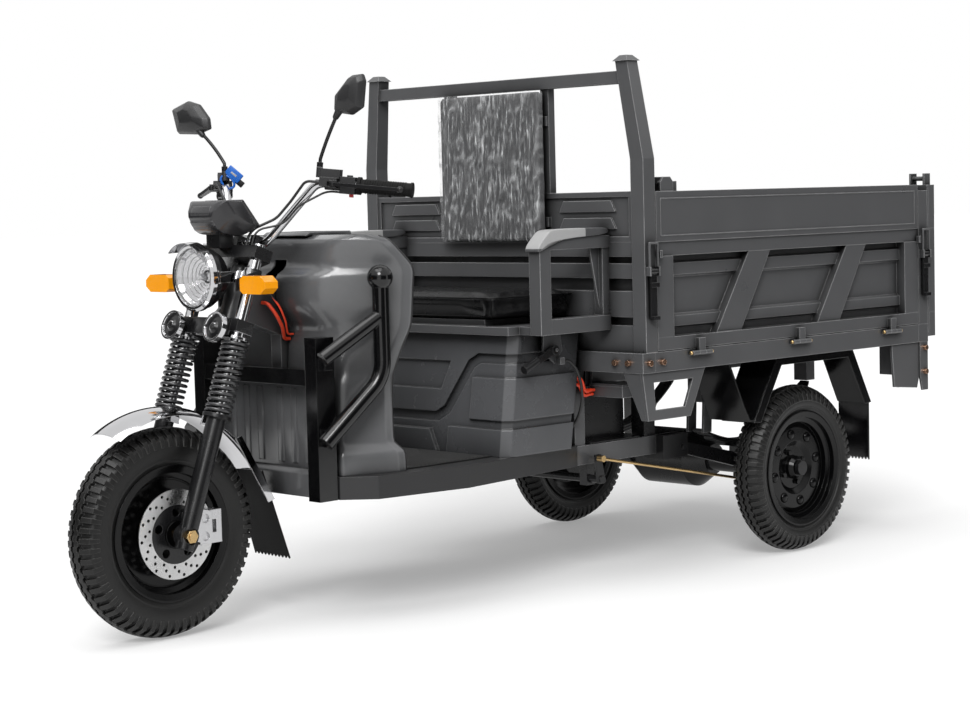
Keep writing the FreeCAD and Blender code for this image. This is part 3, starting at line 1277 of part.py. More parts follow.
def tailgate():
    y1 = BED_HALF - 1
    parts = [box(TAIL_IN, TAIL_IN + 8, -y1, y1, TAIL_BOTTOM, GATE_TOP - 1)]
    x0 = TAIL_IN + 8

    def face(a, b, c, d, out=TAIL_OUT):
        parts.append(box(x0, out, a, b, c, d))
    rail = GATE_TOP - GATE_RAIL
    sill = BED_Z + GATE_SILL
    side = y1 - GATE_SIDE
    face(-y1, y1, rail, GATE_TOP - 1)
    face(-y1, y1, TAIL_BOTTOM, sill)
    face(-y1, -side, sill, rail)
    face(side, y1, sill, rail)
    for k0, k1 in ((0.14, 0.25), (0.7, 0.81)):
        low = sill + (rail - sill) * k0
        high = sill + (rail - sill) * k1
        parts.append(prism_xz([(x0, low - 6), (x0, high + 6), (TAIL_OUT - 16, high), (TAIL_OUT - 16, low)], -side, side))
    h = tail_hinge()
    for yy in (-320.0, 0.0, 320.0):
        barrel = across(h.x, h.z, yy - 13.4, yy + 13.4, HINGE_R)
        leaf = box(TAIL_OUT, h.x, yy - 13.4, yy + 13.4, h.z, h.z + HINGE_R)
        parts.append(fused([barrel, leaf]).cut(across(h.x, h.z, yy - 30, yy + 30, HINGE_PIN_R + RUN)))
    for sign in (-1, 1):
        for y in (sign * (y1 - 12), sign * (y1 - 60)):
            ear = prism_xz([(TAIL_IN + 3, GATE_TOP - 1), (TAIL_IN + 3, GATE_TOP + 34), (TAIL_OUT - 3, GATE_TOP + 34),
                            (TAIL_OUT - 3, GATE_TOP - 1)], *sorted((y, y - sign * 6)))
            parts.append(ear)
        parts.append(across((TAIL_IN + TAIL_OUT) / 2, GATE_TOP + 18, sign * (y1 - 18), sign * (y1 - 60), 7))
    nodes["tailgate"] = parts


def latch_lever(name, at, out, side):
    """Drop handle of a latch: pivot at its top, hanging down flat; out points away from the gate."""
    up = V(0, 0, 1)
    pivot = at
    hub = rod(pivot - side * 15, pivot + side * 15, 8)
    strap = prism([pivot + side * a + out * o for a, o in ((-12, -4), (12, -4), (12, 2), (-12, 2))], up * -118)
    toe = prism([pivot - up * 118 + side * a + out * o for a, o in ((-12, -4), (12, -4), (12, LATCH_TOE), (-12, LATCH_TOE))], up * -10)
    loop_hub = prism([pivot - up * 30 + side * a + out * o for a, o in ((-16, 2), (16, 2), (16, 8), (-16, 8))], up * -12)
    body = fused([hub, strap, toe, loop_hub])
    nodes[name] = [body.cut(rod(pivot - side * 30, pivot + side * 30, 4 + RUN))]
    anchors[name] = pivot
    print("dir", name, side.x, side.y, side.z)


def latch_base(at, out, side, seat):
    """Cheeks, pin and loop that carry one latch lever; seat is the distance in to the face behind it."""
    up = V(0, 0, 1)
    cheeks = []
    for s in (-1, 1):
        a = s * 15.5
        b = s * 20.0
        pts = [at + side * a - out * seat, at + side * b - out * seat, at + side * b + out * 8, at + side * a + out * 8]
        cheeks.append(prism([p - up * 12 for p in pts], up * 24))
    pin = rod(at - side * 20, at + side * 20, 4)
    staple = []
    for s in (-1, 1):
        p = at + side * (s * 16) + up * 12 + out * 2
        staple.append(rod(p, p + up * 62, 3.5))
    p = at + up * 74 + out * 2
    staple.append(rod(p - side * 16, p + side * 16, 3.5))
    staple += [Part.makeSphere(3.5, p - side * 16), Part.makeSphere(3.5, p + side * 16)]
    ring_part = fused(staple)
    return fused(cheeks + [pin, ring_part])


def latches():
    bases = []
    seat = LATCH_SEAT
    z = GATE_TOP - LATCH_DROP
    for sign, side in ((-1, "left"), (1, "right")):
        out = V(0, sign, 0)
        for x, end in ((POST_X + POST / 2, "front"), (BED_REAR - 24, "rear")):
            at = V(x, sign * (BED_HALF + seat), z)
            latch_lever("latch_%s_%s" % (side, end), at, out, V(1, 0, 0))
            bases.append(latch_base(at, out, V(1, 0, 0), seat))
    tails = []
    for sign, side in ((-1, "left"), (1, "right")):
        out = V(1, 0, 0)
        at = V(TAIL_OUT + seat, sign * (BED_HALF - 34), z)
        latch_lever("latch_tail_" + side, at, out, V(0, 1, 0))
        tails.append(latch_base(at, out, V(0, 1, 0), seat))
    nodes["bed_frame"] += bases
    nodes["tailgate"] += tails


def corner_guards():
    z1 = BED_Z - BEAM_H
    low = z1 - GUARD_DROP
    parts = []
    lamps = []
    f = BED_FRONT
    r = BED_REAR
    for sign in (-1, 1):
        y0, y1 = sorted((sign * (BED_HALF - 4), sign * (BED_HALF - 12)))
        plate = prism_xz([(f + 2, z1), (f + 22, low), (f + 194, low), (f + 257, z1)], y0, y1)
        window = prism_xz([(f + 46, z1 - 26), (f + 52, low + 27), (f + 172, low + 27), (f + 206, z1 - 26)], y0 - 1, y1 + 1)
        face_in = sign * (BED_HALF - 72)
        f0, f1 = sorted((face_in, sign * (BED_HALF - 12)))
        front = prism_xz([(f + 2, z1), (f + 22, low), (f + 28, low), (f + 8, z1)], f0, f1)
        trim = prism_yz([(face_in, z1 + 1), (face_in, low - 7), (sign * (BED_HALF - 26), low - 7)], f - 10, f + 60)
        parts += [plate.cut(window), front.cut(trim)]
        parts.append(prism_xz([(r - 186, z1), (r - 173, low - 1), (r - 55, low - 12), (r - 44, low + 23), (r - 44, z1)], y0, y1))
        h0, h1 = sorted((sign * (BED_HALF - 92), sign * (BED_HALF - 12)))
        parts.append(box(r - 125, r - 44, h0, h1, low + 31, z1))
        lamps.append(box(r - 44, r - 36, h0 + 6, h1 - 2, low + 39, z1 - 8))
        mouth = V(r - 27, sign * (BED_HALF - 40), low + 11)
        parts.append(ring(mouth - V(SOCKET_L, 0, 0), mouth, SOCKET_R + 4, SOCKET_R))
    nodes["bed_corner_guards"] = parts + lamps


def mudguards():
    z1 = BED_Z - BEAM_H
    parts = []
    for sign in (-1, 1):
        y0, y1 = sorted((sign * (TRACK_HALF + 46), sign * (TRACK_HALF - 70)))
        t = 4.0
        line = [(1690, 395), (1795, z1 - t), (2150, z1 - t), (2240, 405)]
        over = [(1684, 398), (1792, z1), (2153, z1), (2246, 408)]
        parts.append(prism_xz(line + list(reversed(over)), y0, y1))
        e0, e1 = sorted((sign * (TRACK_HALF + 46), sign * (TRACK_HALF + 50)))
        inner = [(1714, 395), (1812, z1 - 26), (2133, z1 - 26), (2216, 405)]
        parts.append(prism_xz(over + list(reversed(inner)), e0, e1))
        teeth = 9
        flap_in, flap_out = sign * (TRACK_HALF - 66), sign * (TRACK_HALF + 42)
        pts = [(flap_in, 408), (flap_out, 408)]
        for i in range(teeth * 2 + 1):
            k = i / (teeth * 2)
            pts.append((flap_out + (flap_in - flap_out) * k, 233 + (10 if i % 2 else 0)))
        parts.append(prism_yz(pts, 2240, 2246).cut(parts[-2]))
        p0, p1 = sorted((sign * (LEAF_Y + 72), sign * (TRACK_HALF + 32)))
        parts.append(prism_xz([(1592, z1), (1597, z1), (1690, 398), (1684, 398)], p0, p1).cut(parts[-3]))
    nodes["rear_mudguards"] = parts


# Rear suspension

def leaf_curve(x):
    low = REAR_TYRE_R + AXLE_TUBE_R + LEAF_SEAT
    if x < WHEELBASE:
        return low + 44 * ((WHEELBASE - x) / (WHEELBASE - LEAF_FRONT)) ** 2
    return low + 142 * ((x - WHEELBASE) / (LEAF_REAR - WHEELBASE)) ** 2


def leaf_line(x):
    """Height of the underside of the leaf pack, in straight steps so that the leaves lie face to face."""
    step = 32.0
    k = math.floor((x - WHEELBASE) / step)
    x0 = WHEELBASE + k * step
    return leaf_curve(x0) + (leaf_curve(x0 + step) - leaf_curve(x0)) * (x - x0) / step


def leaf_stations(a, b):
    step = 32.0
    inside = [WHEELBASE + k * step for k in range(-40, 41)]
    return [a] + [x for x in inside if a + 1 < x < b - 1] + [b]


def leaf_springs():
    leaves = []
    hangers = []
    under = BED_Z - BEAM_H - LONG_DROP
    for sign in (-1, 1):
        y0, y1 = sorted((sign * (LEAF_Y - LEAF_W / 2), sign * (LEAF_Y + LEAF_W / 2)))
        spans = ((LEAF_FRONT - 9, LEAF_REAR + 4), (LEAF_FRONT + 43, LEAF_REAR - 92), (LEAF_FRONT + 98, LEAF_REAR - 182))
        for i, (a, b) in enumerate(spans):
            low = [(x, leaf_line(x) + LEAF_T * (2 - i)) for x in leaf_stations(a, b)]
            high = [(x, z + LEAF_T) for x, z in low]
            leaves.append(prism_xz(low + list(reversed(high)), y0, y1))
        eye_z = leaf_line(LEAF_FRONT) + 2 * LEAF_T
        f = LEAF_FRONT
        for y in (LEAF_Y - LEAF_W / 2 - 8, LEAF_Y + LEAF_W / 2):
            yy = sorted((sign * y, sign * (y + 8)))
            hangers.append(prism_xz([(f - 18, eye_z - 2), (f + 18, eye_z - 2), (f + 24, under - 64), (f - 12, under - 64)], *yy))
        hangers.append(prism_xz([(f - 17, under - 90), (f + 28, under - 90), (f + 28, under), (f - 17, under)],
                                *sorted((sign * (LEAF_Y - LEAF_W / 2), sign * (LEAF_Y + LEAF_W / 2)))))
        rear_z = leaf_line(LEAF_REAR + 4) + 3 * LEAF_T
        hangers.append(box(LEAF_REAR - 17, LEAF_REAR + 23, y0 + 1, y1 - 1, rear_z + GAP, under))
    nodes["leaf_springs"] = leaves
    nodes["bed_frame"] += hangers


def rear_axle():
    z = REAR_TYRE_R
    face = TRACK_HALF - 62
    tube = across(WHEELBASE, z, -face, face, AXLE_TUBE_R)
    parts = [tube]
    for sign in (-1, 1):
        plate = across(WHEELBASE, z, sign * face, sign * (face + 9), 98)
        stub = across(WHEELBASE, z, sign * (face + 9), sign * (TRACK_HALF + 34), STUB_R)
        nut = across(WHEELBASE, z, sign * (TRACK_HALF + 23), sign * (TRACK_HALF + 36), 21)
        link = prism_xz([(PIVOT_X, PIVOT_Z + 17), (WHEELBASE - 4, z + 24), (WHEELBASE - 4, z - 20), (PIVOT_X, PIVOT_Z - 17)],
                        *sorted((sign * (ROD_Y - 9), sign * (ROD_Y + 9))))
        eye = across(PIVOT_X, PIVOT_Z, sign * (ROD_Y - 12.4), sign * (ROD_Y + 12.4), 17)
        y0, y1 = sorted((sign * (LEAF_Y - 22), sign * (LEAF_Y + 20)))
        pad = box(WHEELBASE - 40, WHEELBASE + 40, y0, y1, z + 10, leaf_line(WHEELBASE) - GAP)
        parts += [plate, stub, nut, link, eye, pad]
    motor = across(WHEELBASE + 6, z + 2, -92, 92, 86)
    bell = [Part.makeCone(86, 46, 60, V(WHEELBASE + 6, s * 92, z + 2), V(0, s, 0)) for s in (-1, 1)]
    body = fused(parts + [motor] + bell)
    pins = [across(PIVOT_X, PIVOT_Z, s * (ROD_Y - 40), s * (ROD_Y + 40), 8 + RUN) for s in (-1, 1)]
    nodes["rear_axle"] = [cut_all(body, pins)]
    anchors["rear_suspension"] = V(PIVOT_X, 0, PIVOT_Z)


# Power, bolts and brake linkage

def power():
    battery = box(SEAT_X + 80, SEAT_REAR - 20, 86 - SEAT_HALF, SEAT_HALF - 86, DECK_Z, seat_z(0.717))
    z1 = BED_Z - BEAM_H
    front = BED_FRONT + 52
    inner = LEAF_Y + 25
    case_y0, case_y1 = -inner - 132, -inner - 12
    case = box(front, front + 78, case_y0, case_y1, z1 - 74, z1 - LONG_DROP)
    lid = box(front, front + 78, case_y0, case_y1, z1 - LONG_DROP, z1 - LONG_DROP + 6)
    cradle = box(front + 8, front + 14, case_y1, -inner, z1 - 74, z1 - 4)
    rail_top = DECK_Z - SHEET
    tray_x0 = front + 12
    tray_x1 = RAIL_END - 66
    tray = box(tray_x0, tray_x1, 4 - RAIL_OUT, RAIL_OUT - 4, rail_top, rail_top + 5)
    cells_half = RAIL_OUT - RAIL_W - 6
    cells = box(tray_x0 + 6, tray_x1 - 6, -cells_half, cells_half, rail_top + 5, z1 - 54)
    nodes["battery_and_controller"] = [battery, case, lid, cradle, tray, cells]
    leads = []
    lean = (SEAT_REAR_TOP - SEAT_REAR) / (SEAT_SHELF - DECK_Z)
    out = V(1, 0, -lean).normalize()
    for dy, drop, low in ((0, 0, 0), (11, 0, 0), (5.5, 18, 11)):
        y = case_y1 - 6 - dy
        z = z1 - 16 - drop
        start = V(SEAT_REAR + lean * (z - DECK_Z), y, z)
        end = V(front, y, z1 - 56 - low)
        points = [start, start + out * 26, V(end.x - 36, y, end.z - 4), V(end.x - 14, y, end.z), end]
        leads.append(bent_rod(points, 60, POWER_LEAD_R, "lead"))
    side = -NECK_W / 2
    hole = V(FAIRING_NOSE, side - 10, 706)
    points = [V(318, side, 801), V(318, side - 20, 801), V(334, side - 34, 772), V(358, side - 28, 738), hole - V(18, 0, 0), hole]
    leads.append(bent_rod(points, 60, POWER_LEAD_R, "neck lead"))
    thin = hole + V(1.2, -12, 12)
    wire = [V(326, side, 824), V(326, side - 20, 824), V(344, side - 38, 790), V(364, side - 34, 752), thin - V(18, 0, 0), thin]
    leads.append(bent_rod(wire, 60, LEAD_R, "neck wire"))
    nodes["frame_cables"] = leads


def frame_bolts():
    bolts = []
    z = BED_Z - BEAM_H / 2
    long = 9.0
    for sign in (-1, 1):
        y = sign * BED_HALF
        for inset in (96, 49):
            p = V(BED_FRONT, sign * (BED_HALF - inset), z)
            bolts.append(rod(p, p - V(long, 0, 0), 8))
        places = [(BED_FRONT + 24, z), (BED_FRONT + 76, z), (BED_REAR - 19, BED_Z - 72), (BED_REAR - 19, BED_Z - 145)]
        for x, zz in places:
            bolts.append(rod(V(x, y, zz), V(x, y + sign * long, zz), 8))
    nodes["frame_bolts"] += bolts


def brakes():
    shaft = across(CROSS_X, CROSS_Z, -RAIL_OUT - 34, RAIL_OUT + 34, CROSS_R)
    arms = []
    for sign in (-1, 1):
        y0, y1 = sorted((sign * (RAIL_OUT + 22), sign * (RAIL_OUT + 30)))
        arms.append(prism_xz([(CROSS_X - 14, CROSS_Z - 8), (CROSS_X + 16, CROSS_Z - 8), (CROSS_X - 2, CROSS_Z + 70),
                              (CROSS_X - 22, CROSS_Z + 70)], y0, y1))
    boss = ring(V(CROSS_X, RAIL_OUT + 8, CROSS_Z), V(CROSS_X, RAIL_OUT + 22, CROSS_Z), 20, CROSS_R)
    nodes["brake_cross_shaft"] = [fused([shaft, boss] + arms)]
    anchors["cross_shaft"] = V(CROSS_X, 0, CROSS_Z)
    rods = []
    for sign in (-1, 1):
        y = sign * (RAIL_OUT + 42)
        a = V(CROSS_X - 12, y, CROSS_Z + 60)
        b = V(WHEELBASE - 62, sign * (RAIL_OUT + 80), REAR_TYRE_R - 40)
        eye = across(a.x, a.z, sign * (RAIL_OUT + 30 + GAP), sign * (RAIL_OUT + 50), 9)
        rods.append(fused([rod(a, b, 4), eye]))
    nodes["brake_rods"] = rods
    a = V(CROSS_X - 12, RAIL_OUT + 42, CROSS_Z + 60)
    b = V(WHEELBASE - 62, RAIL_OUT + 80, REAR_TYRE_R - 40)
    anchors["brake_rods"] = a
    d = (b - a).normalize()
    print("dir brake_rods", d.x, 0.0, d.z)
    pedal_y = 190.0
    x, z = 690.0, DECK_Z + 34
    cheeks = [box(x - 22, x + 22, pedal_y + s * 20 - 4, pedal_y + s * 20 + 4, DECK_Z, z + 14) for s in (-1, 1)]
    pin = across(x, z, pedal_y - 24, pedal_y + 24, 6)
    nodes["footboard"].append(fused(cheeks + [pin]))
    hub = across(x, z, pedal_y - 15, pedal_y + 15, 13)
    arm = prism_xz([(x - 6, z - 9), (x + 4, z + 11), (x - 104, z + 66), (x - 112, z + 50)], pedal_y - 8, pedal_y + 8)
    pad = prism_xz([(x - 120, z + 34), (x - 84, z + 88), (x - 93, z + 94), (x - 129, z + 40)], pedal_y - 40, pedal_y + 40)
    nodes["brake_pedal"] = [fused([hub, arm, pad]).cut(across(x, z, pedal_y - 60, pedal_y + 60, 6 + RUN))]
    anchors["brake_pedal"] = V(x, pedal_y, z)
    lever()


def lever():
    """Parking lever on a plate under the left armrest, with its sheathed cable."""
    y = -SEAT_HALF - 10
    x = 1030.0
    z = SEAT_SHELF - 46
    plate = prism_xz([(1000, z + 46), (1062, z + 46), (1070, z - 4), (1040, z - 38), (996, z - 4)], y - 6, y)
    pin = across(x, z, y - 26, y - 6, 5)
    tab = box(1044, 1060, y - 24, y - 6, z - 40, z - 22)
    nodes["seat_frame"].append(fused([plate, pin, tab]))
    hub = across(x, z, y - 22, y - 6.5, 12)
    arm = prism_xz([(x + 6, z - 8), (x - 2, z + 11), (x - 80, z - 22), (x - 74, z - 38)], y - 20, y - 10)
    knob = rod(V(x - 66, y - 15, z - 24), V(x - 116, y - 15, z - 46), 11)
    nodes["parking_lever"] = [fused([hub, arm, knob]).cut(across(x, z, y - 40, y + 10, 5 + RUN))]
    anchors["parking_lever"] = V(x, y, z)
    end = V(DECK_REAR - 14, -RAIL_OUT + 10, DECK_Z)
    points = [V(1060, y - 15, z - 31), V(1084, y - 15, z - 31), V(1112, y - 16, 590), V(1132, y - 14, 548), V(1145, y - 6, 500),
              V(end.x + 1, y + 16, 452), V(end.x, end.y, 412), end]
    nodes["frame_cables"].append(bent_rod(points, 120, 4, "lever cable"))


front_wheel()
rear_wheel("left")
rear_wheel("right")
fork_lower()
fork_springs()
steering_stem()
handlebar()
headlight()
horns()
dashboard()
control_cables()
chassis()
crash_bars()
footboard()
fairing()
seat_base()
seat_frame()
cushions()
headboard()
bed()
side_gate("left")
side_gate("right")
tailgate()
latches()
corner_guards()
mudguards()
leaf_springs()
rear_axle()
power()
frame_bolts()
brakes()

os.makedirs("parts", exist_ok=True)
for name, solids in nodes.items():
    shape = Part.makeCompound(solids) if len(solids) > 1 else solids[0]
    shape.translate(V(-X_MID, 0, 0))
    shape.exportStep("parts/" + name + ".step")
    if not shape.isValid() or shape.Volume <= 0:
        print("BAD", name, shape.isValid(), shape.Volume)
for name, p in anchors.items():
    print("anchor", name, round(p.x - X_MID, 3), round(p.y, 3), round(p.z, 3))
print("nodes", len(nodes), "middle", X_MID)
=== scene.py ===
import json
import math
import bmesh
import bpy
import numpy as np
from mathutils import Matrix, Vector, noise


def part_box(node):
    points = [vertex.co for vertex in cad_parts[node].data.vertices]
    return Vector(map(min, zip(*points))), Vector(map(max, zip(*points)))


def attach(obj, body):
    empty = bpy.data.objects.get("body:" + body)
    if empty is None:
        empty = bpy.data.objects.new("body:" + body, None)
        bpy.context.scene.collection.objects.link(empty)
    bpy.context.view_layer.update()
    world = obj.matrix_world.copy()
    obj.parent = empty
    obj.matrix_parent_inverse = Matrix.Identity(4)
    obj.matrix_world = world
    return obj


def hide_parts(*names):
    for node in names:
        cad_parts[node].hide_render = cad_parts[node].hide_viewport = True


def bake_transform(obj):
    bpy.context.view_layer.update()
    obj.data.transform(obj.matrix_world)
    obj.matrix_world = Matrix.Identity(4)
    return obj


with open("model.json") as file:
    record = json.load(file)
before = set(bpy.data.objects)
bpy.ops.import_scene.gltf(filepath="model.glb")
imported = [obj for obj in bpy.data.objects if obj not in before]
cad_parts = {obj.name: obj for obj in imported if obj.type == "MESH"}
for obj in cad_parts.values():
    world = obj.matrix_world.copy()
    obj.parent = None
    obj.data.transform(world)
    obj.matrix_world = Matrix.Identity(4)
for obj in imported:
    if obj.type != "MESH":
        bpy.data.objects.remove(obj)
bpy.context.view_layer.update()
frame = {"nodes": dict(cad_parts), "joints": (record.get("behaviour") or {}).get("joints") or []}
NODES = frame["nodes"]

MM = 0.001
MIDDLE = 1141.75
FRONT_R, REAR_R = 258.0, 242.0
REAR_TRACK = 450


def at(x, y, z):
    """Millimetres rearward of the front axle, to the right and up, as a point of the shared frame."""
    return Vector(((x - MIDDLE) * MM, y * MM, z * MM))


# Camera, light and floor

CAMERA_PLACE = (-4.12035, -4.1909, 1.0526)
CAMERA_LENS = 78.03
CAMERA_SENSOR = 36
CAMERA_FAR = 200
CAMERA_YAW, CAMERA_PITCH, CAMERA_ROLL = (math.radians(a) for a in (45.67, 4.55, -1.48))
SKY_FILL = 0.34
# Strength, softness and direction.
KEY_LIGHT = (1.45, math.radians(48), (0.25, 0.05, -1.0))
SIDE_LIGHT = (1.9, math.radians(24), (0.64, 0.54, -0.62))
FLOOR_TONE = 0.70
FLOOR_GLOW = 0.30
FLOOR_HALF = 60.0
FLOOR_DROP = 0.0008
CARD_RADIUS = 3.6
CARD_HEIGHT = 1.9
CARD_GLOW = 0.035
CARD_ARCS = ((6, 98), (116, 203), (230, 274), (290, 344))
CARD_STEPS = 12


def linked(obj):
    bpy.context.scene.collection.objects.link(obj)
    return obj


def photo_camera():
    ahead = Vector((math.cos(CAMERA_YAW) * math.cos(CAMERA_PITCH),
                    math.sin(CAMERA_YAW) * math.cos(CAMERA_PITCH), -math.sin(CAMERA_PITCH)))
    level = Vector((math.sin(CAMERA_YAW), -math.cos(CAMERA_YAW), 0))
    upright = level.cross(ahead)
    right = math.cos(CAMERA_ROLL) * level + math.sin(CAMERA_ROLL) * upright
    up = math.cos(CAMERA_ROLL) * upright - math.sin(CAMERA_ROLL) * level
    data = bpy.data.cameras.new("photo_camera")
    data.lens = CAMERA_LENS
    data.sensor_width = CAMERA_SENSOR
    data.sensor_fit = "HORIZONTAL"
    data.clip_end = CAMERA_FAR
    camera = linked(bpy.data.objects.new("photo_camera", data))
    turn = Matrix((right, up, -ahead)).transposed().to_4x4()
    turn.translation = Vector(CAMERA_PLACE)
    camera.matrix_world = turn
    bpy.context.scene.camera = camera


def seen_directly(tree):
    """One for rays of the camera and of gloss and glass, so that these see the white backdrop."""
    path = tree.nodes.new("ShaderNodeLightPath").outputs
    seen = math_node(tree, "MAXIMUM", path["Is Camera Ray"], path["Is Glossy Ray"])
    return math_node(tree, "MAXIMUM", seen, path["Is Transmission Ray"])


def soft_sun(name, strength, softness, direction):
    data = bpy.data.lights.new(name, "SUN")
    data.energy = strength
    data.angle = softness
    lamp = linked(bpy.data.objects.new(name, data))
    lamp.rotation_euler = Vector(direction).to_track_quat("-Z", "Y").to_euler()


def bare_material(name):
    """A material with nothing in it but its output."""
    material = bpy.data.materials.new(name)
    material.use_nodes = True
    tree = material.node_tree
    tree.nodes.clear()
    return material, tree, tree.nodes.new("ShaderNodeOutputMaterial")


def stage_piece(name, points, faces, material):
    mesh = bpy.data.meshes.new(name)
    mesh.from_pydata(points, [], faces)
    mesh.materials.append(material)
    return linked(bpy.data.objects.new(name, mesh))


def studio():
    scene = bpy.context.scene
    scene.view_settings.view_transform = "Standard"
    world = bpy.data.worlds.new("studio")
    scene.world = world
    world.use_nodes = True
    tree = world.node_tree
    tree.nodes.clear()
    out = tree.nodes.new("ShaderNodeOutputWorld")
    mix = tree.nodes.new("ShaderNodeMixShader")
    tree.links.new(seen_directly(tree), mix.inputs[0])
    for socket, strength in ((mix.inputs[1], SKY_FILL), (mix.inputs[2], 1.0)):
        background = tree.nodes.new("ShaderNodeBackground")
        background.inputs["Color"].default_value = (1, 1, 1, 1)
        background.inputs["Strength"].default_value = strength
        tree.links.new(background.outputs[0], socket)
    tree.links.new(mix.outputs[0], out.inputs["Surface"])
    soft_sun("key_light", *KEY_LIGHT)
    soft_sun("side_light", *SIDE_LIGHT)
    studio_floor()
    dark_cards()


def studio_floor():
    """Matt pale floor that glows a little for the camera and for gloss, and keeps the shadow."""
    material, tree, out = bare_material("studio_floor")
    matt = tree.nodes.new("ShaderNodeBsdfDiffuse")
    matt.inputs["Color"].default_value = (FLOOR_TONE, FLOOR_TONE, FLOOR_TONE, 1)
    glow = tree.nodes.new("ShaderNodeEmission")
    tree.links.new(math_node(tree, "MULTIPLY", seen_directly(tree), FLOOR_GLOW), glow.inputs["Strength"])
    both = tree.nodes.new("ShaderNodeAddShader")
    tree.links.new(matt.outputs[0], both.inputs[0])
    tree.links.new(glow.outputs[0], both.inputs[1])
    tree.links.new(both.outputs[0], out.inputs["Surface"])
    half = FLOOR_HALF
    corners = [(-half, -half, 0), (half, -half, 0), (half, half, 0), (-half, half, 0)]
    floor = stage_piece("studio_floor", corners, [(0, 1, 2, 3)], material)
    floor.location.z = -FLOOR_DROP


def dark_cards():
    """Dark cards round the machine that only gloss sees, with bright gaps between them."""
    material, tree, out = bare_material("studio_card")
    dim = tree.nodes.new("ShaderNodeEmission")
    dim.inputs["Strength"].default_value = CARD_GLOW
    tree.links.new(dim.outputs[0], out.inputs["Surface"])
    points, faces = [], []
    for first, last in CARD_ARCS:
        for k in range(CARD_STEPS + 1):
            a = math.radians(first + (last - first) * k / CARD_STEPS)
            for z in (0.0, CARD_HEIGHT):
                points.append((CARD_RADIUS * math.cos(a), CARD_RADIUS * math.sin(a), z))
            if k:
                n = len(points)
                faces.append((n - 4, n - 2, n - 1, n - 3))
    cards = stage_piece("studio_cards", points, faces, material)
    cards.visible_camera = cards.visible_diffuse = False
    cards.visible_transmission = cards.visible_shadow = False


# Finishes

def shader_group(name, inputs, outputs):
    tree = bpy.data.node_groups.new(name, "ShaderNodeTree")
    for label, value in inputs:
        socket = tree.interface.new_socket(name=label, in_out="INPUT", socket_type="NodeSocketFloat")
        socket.default_value = value
    for label, kind in outputs:
        tree.interface.new_socket(name=label, in_out="OUTPUT", socket_type=kind)
    return tree, tree.nodes.new("NodeGroupInput"), tree.nodes.new("NodeGroupOutput")


def math_node(tree, operation, *values):
    node = tree.nodes.new("ShaderNodeMath")
    node.operation = operation
    for socket, value in zip(node.inputs, values):
        if isinstance(value, (int, float)):
            socket.default_value = value
        else:
            tree.links.new(value, socket)
    return node.outputs[0]


def clamped(tree, value):
    node = tree.nodes.new("ShaderNodeClamp")
    tree.links.new(value, node.inputs["Value"])
    return node.outputs[0]


def own_place(tree):
    """Coordinates that stay with the piece."""
    return tree.nodes.new("ShaderNodeTexCoord").outputs["Object"]


def noise_node(tree, scale, detail, vector=None, rough=0.55):
    node = tree.nodes.new("ShaderNodeTexNoise")
    node.inputs["Detail"].default_value = detail
    node.inputs["Roughness"].default_value = rough
    if isinstance(scale, (int, float)):
        node.inputs["Scale"].default_value = scale
    else:
        tree.links.new(scale, node.inputs["Scale"])
    tree.links.new(vector or own_place(tree), node.inputs["Vector"])
    return node.outputs["Fac"]


def rounded_edge_group():
    """Softens the shading over a pressed or moulded edge, and marks its edges for wear and painted highlight.
    """
    tree, given, out = shader_group("rounded_edge", [("Radius", 0.002), ("Rub", 0.5)],
                                    [("Normal", "NodeSocketVector"), ("Edge", "NodeSocketFloat")])
    bevel = tree.nodes.new("ShaderNodeBevel")
    bevel.samples = 6
    tree.links.new(given.outputs["Radius"], bevel.inputs["Radius"])
    flat = tree.nodes.new("ShaderNodeNewGeometry")
    turn = tree.nodes.new("ShaderNodeVectorMath")
    turn.operation = "DOT_PRODUCT"
    tree.links.new(bevel.outputs["Normal"], turn.inputs[0])
    tree.links.new(flat.outputs["Normal"], turn.inputs[1])
    bend = math_node(tree, "SUBTRACT", 1.0, turn.outputs["Value"])
    patch = math_node(tree, "MULTIPLY", noise_node(tree, 18, 3), 2.2)
    # Where the finish paints worn colour and painted highlight on the edges.
    rubbed_and_lit = math_node(tree, "MULTIPLY", math_node(tree, "MULTIPLY", bend, patch), given.outputs["Rub"])
    tree.links.new(bevel.outputs["Normal"], out.inputs["Normal"])
    tree.links.new(clamped(tree, rubbed_and_lit), out.inputs["Edge"])
    return tree


def surface_grain_group():
    """Fine relief with a broad drift of tone over it."""
    tree, given, out = shader_group("surface_grain", [("Scale", 900.0), ("Drift", 7.0)],
                                    [("Height", "NodeSocketFloat"), ("Tone", "NodeSocketFloat")])
    fine = noise_node(tree, given.outputs["Scale"], 3, rough=0.5)
    broad = noise_node(tree, given.outputs["Drift"], 6, rough=0.6)
    tree.links.new(fine, out.inputs["Height"])
    tree.links.new(broad, out.inputs["Tone"])
    return tree


def settled_dust_group():
    """Thin dust on faces that look up."""
    tree, given, out = shader_group("settled_dust", [("Amount", 0.1)], [("Mask", "NodeSocketFloat")])
    face = tree.nodes.new("ShaderNodeNewGeometry")
    split = tree.nodes.new("ShaderNodeSeparateXYZ")
    tree.links.new(face.outputs["Normal"], split.inputs[0])
    up = math_node(tree, "POWER", math_node(tree, "MAXIMUM", split.outputs["Z"], 0.0), 3.0)
    speck = noise_node(tree, 21, 8, rough=0.7)
    cover = math_node(tree, "MULTIPLY", math_node(tree, "MULTIPLY", up, speck), given.outputs["Amount"])
    tree.links.new(cover, out.inputs["Mask"])
    return tree


